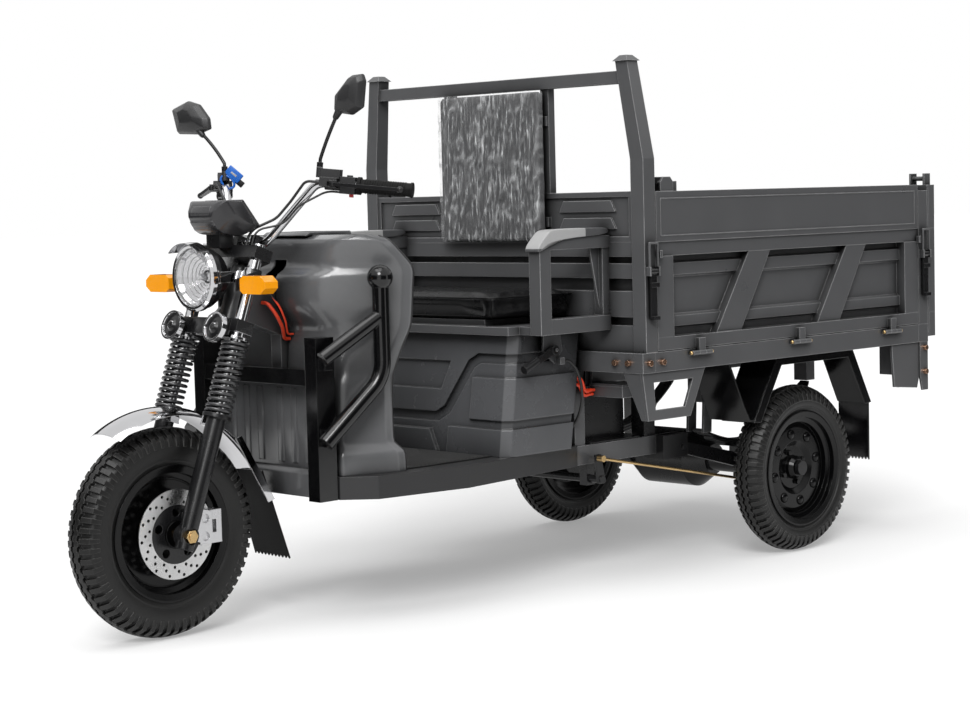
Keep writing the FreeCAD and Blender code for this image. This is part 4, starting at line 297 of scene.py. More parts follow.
def shaded_corner_group():
    """Painted shade: darkens inner corners, gaps and the undersides of lips by how hidden they are, a little
    patchy.
    """
    tree, given, out = shader_group("shaded_corner", [("Reach", 0.05), ("Amount", 0.8)],
                                    [("Mask", "NodeSocketFloat")])
    near = tree.nodes.new("ShaderNodeAmbientOcclusion")
    near.samples = 12
    tree.links.new(given.outputs["Reach"], near.inputs["Distance"])
    hidden = math_node(tree, "POWER", math_node(tree, "SUBTRACT", 1.0, near.outputs["AO"]), 0.8)
    patchy = math_node(tree, "ADD", math_node(tree, "MULTIPLY", noise_node(tree, 12, 3), 0.2), 0.9)
    cover = math_node(tree, "MULTIPLY", math_node(tree, "MULTIPLY", hidden, patchy), given.outputs["Amount"])
    tree.links.new(clamped(tree, cover), out.inputs["Mask"])
    return tree


ROUNDED_EDGE = rounded_edge_group()
SHADED_CORNER = shaded_corner_group()
SURFACE_GRAIN = surface_grain_group()
SETTLED_DUST = settled_dust_group()
DUST_COLOUR = (0.34, 0.33, 0.31, 1)
# Near-black of the painted shade in corners and under lips.
PAINTED_SHADE_COLOUR = (0.004, 0.004, 0.004, 1)
GRAIN_DEPTH = 0.0006


def use_group(tree, group, **values):
    node = tree.nodes.new("ShaderNodeGroup")
    node.node_tree = group
    for label, value in values.items():
        node.inputs[label].default_value = value
    return node


def mixed(tree, factor, a, b):
    node = tree.nodes.new("ShaderNodeMix")
    node.data_type = "RGBA"
    tree.links.new(factor, node.inputs["Factor"])
    for socket, value in ((node.inputs["A"], a), (node.inputs["B"], b)):
        if isinstance(value, tuple):
            socket.default_value = value
        else:
            tree.links.new(value, socket)
    return node.outputs["Result"]


def ranged(tree, value, low, high):
    node = tree.nodes.new("ShaderNodeMapRange")
    node.inputs["From Min"].default_value = 0.3
    node.inputs["From Max"].default_value = 0.7
    node.inputs["To Min"].default_value = low
    node.inputs["To Max"].default_value = high
    tree.links.new(value, node.inputs["Value"])
    return node.outputs["Result"]


FINISHES = {}


def finish(name, colour, rough, metal=0.0, drift=0.14, spread=0.06, grain=900.0, depth=0.10, edge=0.0016,
           rub=0.0, worn_and_highlight_colour=(0.5, 0.5, 0.5), dust=0.0, painted_shade=0.0, reach=0.05, relief=None, **fixed):
    """A solid finish: drifting tone, fine relief, soft edges that turn paler for wear and painted highlight,
    painted shade in corners, and dust.
    """
    material = bpy.data.materials.new(name)
    material.use_nodes = True
    tree = material.node_tree
    shader = tree.nodes["Principled BSDF"]
    shader.inputs["Metallic"].default_value = metal
    for label, value in fixed.items():
        shader.inputs[label.replace("_", " ")].default_value = value
    surface = use_group(tree, SURFACE_GRAIN, Scale=grain)
    soft = use_group(tree, ROUNDED_EDGE, Radius=edge, Rub=rub)
    dark = tuple(c * (1 - drift) for c in colour) + (1,)
    pale = tuple(min(1.0, c * (1 + drift)) for c in colour) + (1,)
    tone = mixed(tree, ranged(tree, surface.outputs["Tone"], 0, 1), dark, pale)
    # Paler edges: wear, and painted highlight along the edges.
    if rub:
        tone = mixed(tree, soft.outputs["Edge"], tone, worn_and_highlight_colour + (1,))
    # Painted shade: darker in inner corners and under lips.
    if painted_shade:
        corner = use_group(tree, SHADED_CORNER, Amount=painted_shade, Reach=reach)
        tone = mixed(tree, corner.outputs["Mask"], tone, PAINTED_SHADE_COLOUR)
    if dust:
        settled = use_group(tree, SETTLED_DUST, Amount=dust)
        tone = mixed(tree, settled.outputs["Mask"], tone, DUST_COLOUR)
    tree.links.new(tone, shader.inputs["Base Color"])
    tree.links.new(ranged(tree, surface.outputs["Tone"], max(0.02, rough - spread), rough + spread),
                   shader.inputs["Roughness"])
    normal = bumped(tree, surface.outputs["Height"], soft.outputs["Normal"], GRAIN_DEPTH, depth)
    if relief:
        normal = relief(tree, normal)
    tree.links.new(normal, shader.inputs["Normal"])
    FINISHES[name] = material
    return material


def bumped(tree, height, normal, distance, strength):
    bump = tree.nodes.new("ShaderNodeBump")
    bump.inputs["Strength"].default_value = strength
    bump.inputs["Distance"].default_value = distance
    tree.links.new(height, bump.inputs["Height"])
    tree.links.new(normal, bump.inputs["Normal"])
    return bump.outputs["Normal"]


def hide_cells(tree, normal):
    """Leather: cells with creases between them."""
    cells = tree.nodes.new("ShaderNodeTexVoronoi")
    cells.feature = "DISTANCE_TO_EDGE"
    cells.inputs["Scale"].default_value = 420
    tree.links.new(own_place(tree), cells.inputs["Vector"])
    return bumped(tree, cells.outputs["Distance"], normal, 0.0009, 0.5)


def brushed(tree, normal):
    """Fine turned lines round the wheel's axis."""
    lines = tree.nodes.new("ShaderNodeTexWave")
    lines.wave_type = "RINGS"
    lines.rings_direction = "Y"
    lines.inputs["Scale"].default_value = 420
    lines.inputs["Distortion"].default_value = 0.6
    place = tree.nodes.new("ShaderNodeMapping")
    place.inputs["Location"].default_value = -at(0, 0, FRONT_R)
    tree.links.new(own_place(tree), place.inputs["Vector"])
    tree.links.new(place.outputs[0], lines.inputs["Vector"])
    return bumped(tree, lines.outputs["Fac"], normal, 0.0002, 0.25)


def lens_ribs(tree, normal):
    """Upright ribs moulded inside a lamp's lens."""
    ribs = tree.nodes.new("ShaderNodeTexWave")
    ribs.bands_direction = "Y"
    ribs.inputs["Scale"].default_value = 60
    tree.links.new(own_place(tree), ribs.inputs["Vector"])
    return bumped(tree, ribs.outputs["Fac"], normal, 0.0008, 0.5)


def make_finishes():
    # painted_shade darkens corners and hollows with painted shade; the cowl's long reach spreads it over its
    # front behind the bars and the fork. Its pale edges are painted highlight as well as wear.
    finish("cowl_plastic", (0.150, 0.152, 0.157), 0.17, drift=0.05, spread=0.03, grain=1500, depth=0.10,
           edge=0.006, rub=0.5, worn_and_highlight_colour=(0.34, 0.34, 0.35), dust=0.03, painted_shade=1.1, reach=0.20,
           Specular_IOR_Level=0.6)
    finish("seat_plastic", (0.092, 0.094, 0.099), 0.26, drift=0.05, spread=0.03, grain=1500, depth=0.12,
           edge=0.005, rub=0.6, worn_and_highlight_colour=(0.28, 0.28, 0.29), dust=0.04, painted_shade=1.2, reach=0.09)
    finish("dark_plastic", (0.018, 0.018, 0.019), 0.42, grain=1300, depth=0.16, edge=0.0022, rub=0.15,
           worn_and_highlight_colour=(0.07, 0.07, 0.07), dust=0.04)
    # Pale edges of the meter plastic: painted highlight that shows the pod's shape.
    finish("meter_plastic", (0.026, 0.026, 0.028), 0.20, grain=1300, depth=0.08, edge=0.0034, rub=0.8,
           worn_and_highlight_colour=(0.20, 0.20, 0.21), dust=0.03)
    # Pale rubbed edges on the charcoal paint: painted highlight along pressed edges, as well as wear.
    finish("charcoal_paint", (0.088, 0.089, 0.092), 0.30, drift=0.04, spread=0.03, grain=2200, depth=0.07,
           edge=0.0034, rub=1.7, worn_and_highlight_colour=(0.66, 0.66, 0.67), dust=0.05, painted_shade=1.3)
    finish("black_enamel", (0.003, 0.003, 0.0034), 0.15, grain=1600, depth=0.05, edge=0.0022, rub=0.25,
           worn_and_highlight_colour=(0.06, 0.06, 0.062), dust=0.015, Specular_IOR_Level=0.5)
    finish("rim_enamel", (0.002, 0.002, 0.0022), 0.20, grain=1600, depth=0.05, edge=0.0026, rub=0.3,
           worn_and_highlight_colour=(0.05, 0.05, 0.052), dust=0.01, Specular_IOR_Level=0.22)
    finish("satin_black", (0.009, 0.009, 0.0097), 0.28, grain=1600, depth=0.08, edge=0.0022, rub=0.3,
           worn_and_highlight_colour=(0.07, 0.07, 0.072), dust=0.03, Specular_IOR_Level=0.4)
    finish("chrome_plate", (0.56, 0.56, 0.57), 0.07, metal=1.0, drift=0.05, spread=0.035, grain=500,
           depth=0.015, edge=0.0014)
    finish("bright_alloy", (0.60, 0.60, 0.61), 0.30, metal=1.0, drift=0.10, grain=1200, depth=0.14,
           edge=0.0016, rub=0.3, worn_and_highlight_colour=(0.85, 0.85, 0.85))
    finish("turned_steel", (0.62, 0.62, 0.62), 0.30, metal=1.0, drift=0.08, grain=1500, depth=0.04,
           edge=0.0006, relief=brushed)
    finish("zinc_gold", (0.62, 0.43, 0.20), 0.30, metal=1.0, drift=0.25, grain=700, depth=0.10,
           edge=0.0012, rub=0.3, worn_and_highlight_colour=(0.75, 0.70, 0.60))
    finish("rose_zinc", (0.86, 0.50, 0.33), 0.24, metal=1.0, drift=0.2, grain=700, depth=0.08,
           edge=0.0012, rub=0.4, worn_and_highlight_colour=(0.95, 0.85, 0.78))
    finish("spring_steel", (0.030, 0.030, 0.032), 0.24, grain=1100, depth=0.05, edge=0.0008, rub=0.3,
           worn_and_highlight_colour=(0.10, 0.10, 0.10), Specular_IOR_Level=0.8)
    # Pale rubbed lug edges: painted highlight; painted shade darkens the tyre's hollows.
    finish("tyre_rubber", (0.0065, 0.0064, 0.0062), 0.44, drift=0.25, grain=1100, depth=0.25, edge=0.0022,
           rub=1.3, worn_and_highlight_colour=(0.16, 0.157, 0.152), dust=0.012, painted_shade=0.8, Specular_IOR_Level=0.4)
    finish("soft_rubber", (0.007, 0.007, 0.007), 0.56, drift=0.2, grain=1400, depth=0.25, edge=0.0012,
           dust=0.02, Specular_IOR_Level=0.12)
    finish("mat_rubber", (0.007, 0.007, 0.007), 0.50, drift=0.2, grain=1000, depth=0.3, edge=0.0012,
           dust=0.03)
    finish("seat_leather", (0.0035, 0.0035, 0.0038), 0.28, drift=0.2, grain=1600, depth=0.12, edge=0.0010,
           relief=hide_cells, dust=0.01, Specular_IOR_Level=0.2)
    finish("back_leather", (0.040, 0.040, 0.042), 0.40, drift=0.2, grain=1600, depth=0.12, edge=0.0010,
           relief=hide_cells)
    finish("arm_vinyl", (0.40, 0.40, 0.40), 0.42, drift=0.06, grain=1400, depth=0.12, edge=0.0016,
           dust=0.03)
    # Faint emission: a painted glow on the lens.
    finish("amber_lens", (1.0, 0.36, 0.003), 0.12, drift=0.06, grain=300, depth=0.02, edge=0.0016,
           relief=lens_ribs, Coat_Weight=0.6, Coat_Roughness=0.04, Emission_Color=(1.0, 0.30, 0.004, 1),
           Emission_Strength=0.05)
    finish("red_lens", (0.50, 0.010, 0.010), 0.14, drift=0.06, grain=300, depth=0.02, edge=0.0016,
           relief=lens_ribs, Coat_Weight=0.6, Coat_Roughness=0.05)
    finish("red_sheath", (0.78, 0.060, 0.020), 0.40, grain=900, depth=0.1, edge=0.0006)
    finish("black_sheath", (0.012, 0.012, 0.012), 0.42, grain=900, depth=0.15, edge=0.0006)
    finish("blue_clip", (0.010, 0.13, 0.55), 0.34, grain=900, depth=0.1, edge=0.0010)
    finish("screen_glass", (0.006, 0.006, 0.007), 0.08, drift=0.1, grain=300, depth=0.01, edge=0.0010)
    finish("mirror_glass", (0.86, 0.87, 0.88), 0.03, metal=1.0, drift=0.02, spread=0.01, grain=200,
           depth=0.0)
    glass = finish("lamp_glass", (0.97, 0.97, 0.97), 0.03, drift=0.02, spread=0.01, grain=200, depth=0.0,
                   edge=0.0008)
    shader = glass.node_tree.nodes["Principled BSDF"]
    shader.inputs["Transmission Weight"].default_value = 1.0
    shader.inputs["IOR"].default_value = 1.45


def paint(node, base, *parts):
    """Base finish for a CAD node, and other finishes for the faces inside boxes of millimetres."""
    obj = NODES[node]
    mesh = obj.data
    mesh.materials.clear()
    mesh.materials.append(FINISHES[base])
    if not parts:
        return
    centres = np.zeros(len(mesh.polygons) * 3)
    mesh.polygons.foreach_get("center", centres)
    centres = centres.reshape(-1, 3) / MM
    centres[:, 1] = np.abs(centres[:, 1])
    index = np.zeros(len(mesh.polygons), np.int32)
    for finish_name, test in parts:
        mesh.materials.append(FINISHES[finish_name])
        index[test(*centres.T)] = len(mesh.materials) - 1
    mesh.polygons.foreach_set("material_index", index)


def inside(x=None, y=None, z=None):
    """Test of a point against a box; X counts from the machine's middle and Y from its centre line."""
    def test(px, py, pz):
        keep = np.ones(len(px), bool)
        for value, span in ((px, x), (py, y), (pz, z)):
            if span:
                keep &= (value >= span[0]) & (value <= span[1])
        return keep
    return test


def ring_of(centre, least, most):
    """Test of a point's distance from an axle along Y."""
    def test(px, py, pz):
        away = np.hypot(px - centre[0], pz - centre[1])
        return (away >= least) & (away <= most)
    return test


HORN_AXIS = np.array((-0.93969, 0.0, 0.34202))
HORN_MID = np.array((-1020.0, 86.0, 753.5))


def about_horn(least, most):
    """Test of a point's distance from a horn's axis, on its front side."""
    def test(px, py, pz):
        away = np.stack((px, py, pz), axis=1) - HORN_MID
        ahead = away @ HORN_AXIS
        off = np.linalg.norm(away - np.outer(ahead, HORN_AXIS), axis=1)
        return (off >= least) & (off <= most)
    return test


PLAIN_NODES = {
    "satin_black": ("rear_axle", "brake_pedal", "brake_lever_left", "brake_lever_right", "fork_legs",
                    "brake_cross_shaft", "parking_lever"),
    "charcoal_paint": ("seat_frame", "headboard", "bed_frame", "side_gate_left", "side_gate_right",
                       "tailgate"),
    "black_enamel": ("crash_bars", "rear_mudguards"),
    "rim_enamel": ("front_rim", "rear_rim_left", "rear_rim_right"),
    "seat_plastic": ("seat_base_cover",),
    "dark_plastic": ("footboard", "switch_housings"),
    "soft_rubber": ("left_grip", "throttle_grip"),
    "black_sheath": ("control_cables",),
    "chrome_plate": ("fork_stanchions", "handlebar", "headlight_rim"),
    "bright_alloy": ("brake_caliper",),
    "zinc_gold": ("front_axle", "brake_rods"),
    "rose_zinc": ("frame_bolts",),
    "amber_lens": ("turn_signals",),
}


def paint_nodes():
    for base, nodes in PLAIN_NODES.items():
        for node in nodes:
            paint(node, base)
    for node in NODES:
        if node.startswith("latch_"):
            paint(node, "satin_black")
    # The chassis under the bed takes satin black: painted shade under the bed.
    paint("chassis_frame", "charcoal_paint", ("satin_black", inside((60, 1400), (0, 620), (0, 630))))
    paint("bed_corner_guards", "charcoal_paint", ("red_lens", inside((1293.5, 1303), (460, 534), (488, 570))))
    paint("battery_and_controller", "satin_black",
          ("charcoal_paint", inside((70, 150), (300, 430), (500, 545))))
    paint("frame_cables", "black_sheath", ("red_sheath", inside((-10, 72), (304, 328), (500, 566))),
          ("red_sheath", inside((-830, -745), (15, 62), (700, 808))))
    paint("steering_stem", "satin_black", ("chrome_plate", inside((-1005, -937), (64, 140), (704, 744))))
    paint("headlight_shell", "satin_black", ("chrome_plate", inside((-1003, -891), (77, 116), (838, 897))))
    paint("horns", "chrome_plate", ("satin_black", about_horn(9.0, 30.5)))
    paint("front_fender", "chrome_plate", ("soft_rubber", inside((-878, -798), (0, 70), (150, 372))))
    paint("brake_disc", "turned_steel", ("satin_black", ring_of((-MIDDLE, FRONT_R), 0, 72.5)))


# Making pieces

SIDES = (("left", -1), ("right", 1))


def turns(count):
    """Angles of count equal steps round a circle."""
    return [2 * math.pi * k / count for k in range(count)]


def shaped(name, points, faces, crease=38, material=None):
    """A mesh object with merged points and outward faces."""
    mesh = bpy.data.meshes.new(name)
    mesh.from_pydata([tuple(p) for p in points], [], faces)
    form = bmesh.new()
    form.from_mesh(mesh)
    bmesh.ops.remove_doubles(form, verts=form.verts, dist=1e-6)
    bmesh.ops.recalc_face_normals(form, faces=form.faces)
    form.to_mesh(mesh)
    form.free()
    return dressed(linked(bpy.data.objects.new(name, mesh)), crease, material)


def dressed(obj, crease=38, material=None):
    obj.data.shade_smooth()
    obj.data.set_sharp_from_angle(angle=math.radians(crease))
    if material:
        obj.data.materials.clear()
        obj.data.materials.append(FINISHES[material])
    return obj


def skin(rings, capped=True):
    """Points and faces over a row of equal rings."""
    points = [p for ring in rings for p in ring]
    count = len(rings[0])
    faces = []
    for r in range(len(rings) - 1):
        for i in range(count):
            j = (i + 1) % count
            faces.append((r * count + i, r * count + j, (r + 1) * count + j, (r + 1) * count + i))
    if capped:
        faces.append(tuple(range(count)))
        faces.append(tuple(range((len(rings) - 1) * count, len(rings) * count)))
    return points, faces


def lathe(profile, steps, place):
    """Points and faces of a closed profile of (along, radius) pairs turned a full circle."""
    rings = [[place(u, r * math.cos(a), r * math.sin(a)) for u, r in profile] for a in turns(steps)]
    return skin(rings + rings[:1], capped=False)


def tube(points, radius, sides=10):
    """Points and faces of a round wire along a row of points."""
    rings = []
    points = [Vector(p) for p in points]
    side = None
    for i, p in enumerate(points):
        ahead = (points[min(i + 1, len(points) - 1)] - points[max(i - 1, 0)]).normalized()
        if side is None:
            side = ahead.orthogonal().normalized()
        side = (side - ahead * side.dot(ahead)).normalized()
        other = ahead.cross(side)
        rings.append([p + side * radius * math.cos(a) + other * radius * math.sin(a) for a in turns(sides)])
    return skin(rings)


def round_rows(middle, run, rows, sides=16):
    """Rings of (along, radius) pairs, in metres, round a line."""
    a_side = run.orthogonal().normalized()
    b_side = run.cross(a_side)
    return [[middle + run * s + (a_side * math.cos(a) + b_side * math.sin(a)) * r for a in turns(sides)]
            for s, r in rows]


def joined(parts):
    points, faces = [], []
    for p, f in parts:
        shift = len(points)
        points += p
        faces += [tuple(i + shift for i in face) for face in f]
    return points, faces


def repeat_tree():
    """Copies of a shape, each moved and turned on from the last one."""
    tree = bpy.data.node_groups.new("repeat_shape", "GeometryNodeTree")
    face = tree.interface
    face.new_socket(name="Shape", in_out="INPUT", socket_type="NodeSocketGeometry")
    face.new_socket(name="Count", in_out="INPUT", socket_type="NodeSocketInt")
    for label in ("Start", "Step", "Turn"):
        face.new_socket(name=label, in_out="INPUT", socket_type="NodeSocketVector")
    face.new_socket(name="Finish", in_out="INPUT", socket_type="NodeSocketMaterial")
    face.new_socket(name="Copies", in_out="OUTPUT", socket_type="NodeSocketGeometry")
    given = tree.nodes.new("NodeGroupInput")
    out = tree.nodes.new("NodeGroupOutput")
    index = tree.nodes.new("GeometryNodeInputIndex").outputs[0]

    def scaled(label):
        node = tree.nodes.new("ShaderNodeVectorMath")
        node.operation = "SCALE"
        tree.links.new(given.outputs[label], node.inputs[0])
        tree.links.new(index, node.inputs["Scale"])
        return node.outputs[0]
    place = tree.nodes.new("ShaderNodeVectorMath")
    tree.links.new(scaled("Step"), place.inputs[0])
    tree.links.new(given.outputs["Start"], place.inputs[1])
    spots = tree.nodes.new("GeometryNodePoints")
    tree.links.new(given.outputs["Count"], spots.inputs["Count"])
    tree.links.new(place.outputs[0], spots.inputs["Position"])
    copies = tree.nodes.new("GeometryNodeInstanceOnPoints")
    tree.links.new(spots.outputs[0], copies.inputs["Points"])
    tree.links.new(given.outputs["Shape"], copies.inputs["Instance"])
    tree.links.new(scaled("Turn"), copies.inputs["Rotation"])
    real = tree.nodes.new("GeometryNodeRealizeInstances")
    coat = tree.nodes.new("GeometryNodeSetMaterial")
    tree.links.new(copies.outputs[0], real.inputs[0])
    tree.links.new(real.outputs[0], coat.inputs["Geometry"])
    tree.links.new(given.outputs["Finish"], coat.inputs["Material"])
    tree.links.new(coat.outputs[0], out.inputs[0])
    return tree


REPEAT = repeat_tree()


def repeated(name, points, faces, count, material, start, step=(0, 0, 0), turn=(0, 0, 0), crease=30):
    """A plain mesh object of count copies of a shape, made by the repeat_shape tree."""
    seed = shaped(name + "_seed", points, faces, crease)
    modifier = seed.modifiers.new("copies", "NODES")
    modifier.node_group = REPEAT
    values = {"Count": count, "Start": start, "Step": step, "Turn": turn, "Finish": FINISHES[material]}
    for item in REPEAT.interface.items_tree:
        if item.in_out == "INPUT" and item.name in values:
            modifier[item.identifier] = values[item.name]
    seed.update_tag()
    graph = bpy.context.evaluated_depsgraph_get()
    mesh = bpy.data.meshes.new_from_object(seed.evaluated_get(graph))
    bpy.data.objects.remove(seed)
    mesh.name = name
    return linked(bpy.data.objects.new(name, mesh))


def merged(name, *objs):
    """One object out of several, with their finishes kept."""
    form = bmesh.new()
    materials = []
    for obj in objs:
        offset = len(materials)
        start = len(form.faces)
        form.from_mesh(obj.data)
        form.faces.ensure_lookup_table()
        for face in form.faces[start:]:
            face.material_index += offset
        materials += list(obj.data.materials)
    mesh = bpy.data.meshes.new(name)
    form.to_mesh(mesh)
    form.free()
    for material in materials:
        mesh.materials.append(material)
    for obj in objs:
        bpy.data.objects.remove(obj)
    return linked(bpy.data.objects.new(name, mesh))


def mounted(obj, body, slot, *replaced):
    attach(obj, body)
    if replaced:
        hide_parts(*replaced)
    return obj


# Tyres

TREAD = 9.5
SHOULDER = 18.0
LUGS = 62
LUG_SHARE = 0.54
RIM_LIP, BEAD_SEAT = 170.0, 152.1
FLANK_STEPS, CROWN_STEPS = 14, 8
# Middle and half-width of the two raised rings on a flank, above the lip and above its belly.
RIM_GUARD, SIDE_RING = (9, 2.2), (6, 1.2)
RING_RISE = 1.1


def crown(radius, edge, y):
    return radius - SHOULDER * (y / edge) ** 2


def tyre(name, radius, width, centre, body, node):
    half = width / 2
    edge = half - 4
    bead = half - 7.6
    low_side = radius - SHOULDER - TREAD
    belly = (RIM_LIP + low_side) / 2

    def flank(r):
        t = (r - RIM_LIP) / (low_side - RIM_LIP)
        swell = bead + (edge - bead) * t + (half - (bead + edge) / 2) * 4 * t * (1 - t)
        on_guard = abs(r - RIM_LIP - RIM_GUARD[0]) < RIM_GUARD[1]
        on_ring = abs(r - belly - SIDE_RING[0]) < SIDE_RING[1]
        return swell + (RING_RISE if on_guard or on_ring else 0.0)
    rise = [RIM_LIP + (low_side - RIM_LIP) * k / FLANK_STEPS for k in range(FLANK_STEPS + 1)]
    rise += [RIM_LIP + 6.8, RIM_LIP + 11.3, belly + 4.7, belly + 7.3]
    side = [(flank(r), r) for r in sorted(rise)]
    over = [edge * (1 - k / CROWN_STEPS) for k in range(1, 2 * CROWN_STEPS)]
    top = [(across, crown(radius, edge, across) - TREAD) for across in over]
    profile = [(bead, BEAD_SEAT)] + side + top + [(-y, r) for y, r in reversed(side)] + [(-bead, BEAD_SEAT)]
    x, y, z = centre
    turned = lathe(profile, 120, lambda u, a, b: at(x + a, y + u, z + b))
    carcass = shaped(name + "_carcass", *turned, 50, "tyre_rubber")

    pitch = 2 * math.pi / LUGS

    def spot(turn, across, r):
        return Vector((r * math.sin(turn) * MM, across * MM, r * math.cos(turn) * MM))

    def lug(sign, middle):
        cut = pitch * LUG_SHARE / 2
        rows = [(0.50 * edge, -TREAD - 2, 1.0), (0.50 * edge, 0, 0.88), (0.80 * edge, 0, 0.92),
                (edge + 0.6, 0, 0.94)]
        outline = [(sign * a, crown(radius, edge, min(a, edge)) + d, w) for a, d, w in rows]
        drop = radius - SHOULDER
        outline += [(sign * (half + 1.4), drop - 15, 0.90), (sign * (half + 0.8), drop - 27, 0.72),
                    (sign * (half - 6), drop - 29, 0.72), (sign * (edge - 9), drop - 16, 1.0)]
        rings = [[spot(middle + s * cut * w, a, r) for a, r, w in outline] for s in (-1, 1)]
        return skin(rings)

    def rib(sign):
        rows = []
        for turn, shift in ((-0.5, -1), (-0.12, -1), (0.0, 1), (0.38, 1), (0.5, -1)):
            mid = sign * 0.24 * edge + shift * 0.055 * edge
            y0, y1 = mid - 0.155 * edge, mid + 0.155 * edge
            rows.append([spot(turn * pitch, y0, crown(radius, edge, y0) - TREAD - 1),
                         spot(turn * pitch, y0 + 0.8, crown(radius, edge, y0)),
                         spot(turn * pitch, y1 - 0.8, crown(radius, edge, y1)),
                         spot(turn * pitch, y1, crown(radius, edge, y1) - TREAD - 1)])
        return skin(rows, capped=False)
    shape = joined([lug(-1, 0), lug(1, pitch / 2), rib(-1), rib(1)])
    tread = repeated(name + "_tread", *shape, LUGS, "tyre_rubber", at(x, y, z), turn=(0, pitch, 0), crease=24)
    mounted(merged(name, carcass, tread), body, node, node)


# Springs

RAKE = math.radians(20)
FORK_UP = Vector((math.sin(RAKE), 0, math.cos(RAKE)))
FORK_BACK = Vector((math.cos(RAKE), 0, -math.sin(RAKE)))
AXLE_FRONT = at(0, 0, FRONT_R)
FORK_HALF = 102.0
SPRING_LOW, SPRING_HIGH = 302.0, 489.0
SPRING_MID_R = 30.2
SPRING_WIRE_R = 4.3
SPRING_TURNS = 11
SPRING_STEPS = 24
SPRING_FIRST = 0.6


def along_fork(s, y, back=0.0):
    return AXLE_FRONT + (FORK_UP * s + FORK_BACK * back) * MM + Vector((0, y * MM, 0))


def coil_springs():
    low, high = SPRING_LOW + SPRING_WIRE_R, SPRING_HIGH - SPRING_WIRE_R - 1
    total = SPRING_TURNS + 2
    tight = 2 * SPRING_WIRE_R + 0.7
    pitch = (high - low - 2 * tight) / SPRING_TURNS
    for label, sign in SIDES:
        y = sign * FORK_HALF
        path = []
        for k in range(total * SPRING_STEPS + 1):
            t = k / SPRING_STEPS
            if t < 1:
                s = low + tight * t
            elif t > total - 1:
                s = high - tight * (total - t)
            else:
                s = low + tight + pitch * (t - 1)
            a = SPRING_FIRST + 2 * math.pi * t
            path.append(along_fork(s, y + SPRING_MID_R * math.sin(a), SPRING_MID_R * math.cos(a)))
        coil = shaped("fork_spring_" + label, *tube(path, SPRING_WIRE_R * MM, 10), 50, "spring_steel")
        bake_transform(coil)
        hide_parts("fork_springs")


AXLE_REAR = 1922.0
LEAF_SPAN = (1717.0, 2222.0)
LEAF_LOW = 294.0
LEAF_RISE = (44.0, 142.0)
LEAF_Y = 268.0
LEAF_STEPS = 14
LEAF_PITCH = 8.0
LEAF_HALF, TIP_HALF, TIP_LENGTH = 25.0, 17.0, 10
# A leaf's section: side, how far in from the edge, and height.
LEAF_SECTION = ((-1, 0, 1.0), (-1, 1, 0.2), (1, 1, 0.2), (1, 0, 1.0),
                (1, 0, 6.8), (1, 1, 7.6), (-1, 1, 7.6), (-1, 0, 6.8))


def leaf_height(x):
    which = 0 if x < AXLE_REAR else 1
    return LEAF_LOW + LEAF_RISE[which] * ((x - AXLE_REAR) / (LEAF_SPAN[which] - AXLE_REAR)) ** 2


def leaf(a, b, lift, y, tip):
    """One leaf from a to b, its tip drawn in."""
    rows = []
    for k in range(LEAF_STEPS + 1):
        x = a + (b - a) * k / LEAF_STEPS
        narrow = min(1.0, abs(x - tip) / TIP_LENGTH)
        half = TIP_HALF + (LEAF_HALF - TIP_HALF) * narrow
        z = leaf_height(x) + lift
        rows.append([at(x, y + side * (half - inset), z + up) for side, inset, up in LEAF_SECTION])
    return skin(rows)


def leaf_packs():
    front, rear = LEAF_SPAN
    spans = ((front - 9, rear + 4), (front + 43, rear - 92), (front + 98, rear - 182))
    for label, sign in SIDES:
        y = sign * LEAF_Y
        for end in ("front", "rear"):
            leaves = []
            for i, (a, b) in enumerate(spans):
                lift = LEAF_PITCH * (2 - i)
                ends = (a, AXLE_REAR) if end == "front" else (AXLE_REAR, b)
                leaves.append(leaf(*ends, lift, y, ends[0] if end == "front" else ends[1]))
            pack = shaped("leaf_spring_" + label + "_" + end, *joined(leaves), 30, "satin_black")
            if end == "front":
                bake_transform(pack)
            else:
                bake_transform(pack)
            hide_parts("leaf_springs")


# Seat

VOXEL = 0.006
SWELL_FRAMES = 20
SMOOTH = 180


def copied(node, name):
    """A merged copy of a CAD node's mesh as a new object."""
    form = bmesh.new()
    form.from_mesh(NODES[node].data)
    bmesh.ops.remove_doubles(form, verts=form.verts, dist=2e-5)
    bmesh.ops.recalc_face_normals(form, faces=form.faces)
    mesh = bpy.data.meshes.new(name)
    form.to_mesh(mesh)
    form.free()
    return linked(bpy.data.objects.new(name, mesh))


def applied(obj):
    graph = bpy.context.evaluated_depsgraph_get()
    mesh = bpy.data.meshes.new_from_object(obj.evaluated_get(graph))
    obj.modifiers.clear()
    obj.data = mesh
    return obj


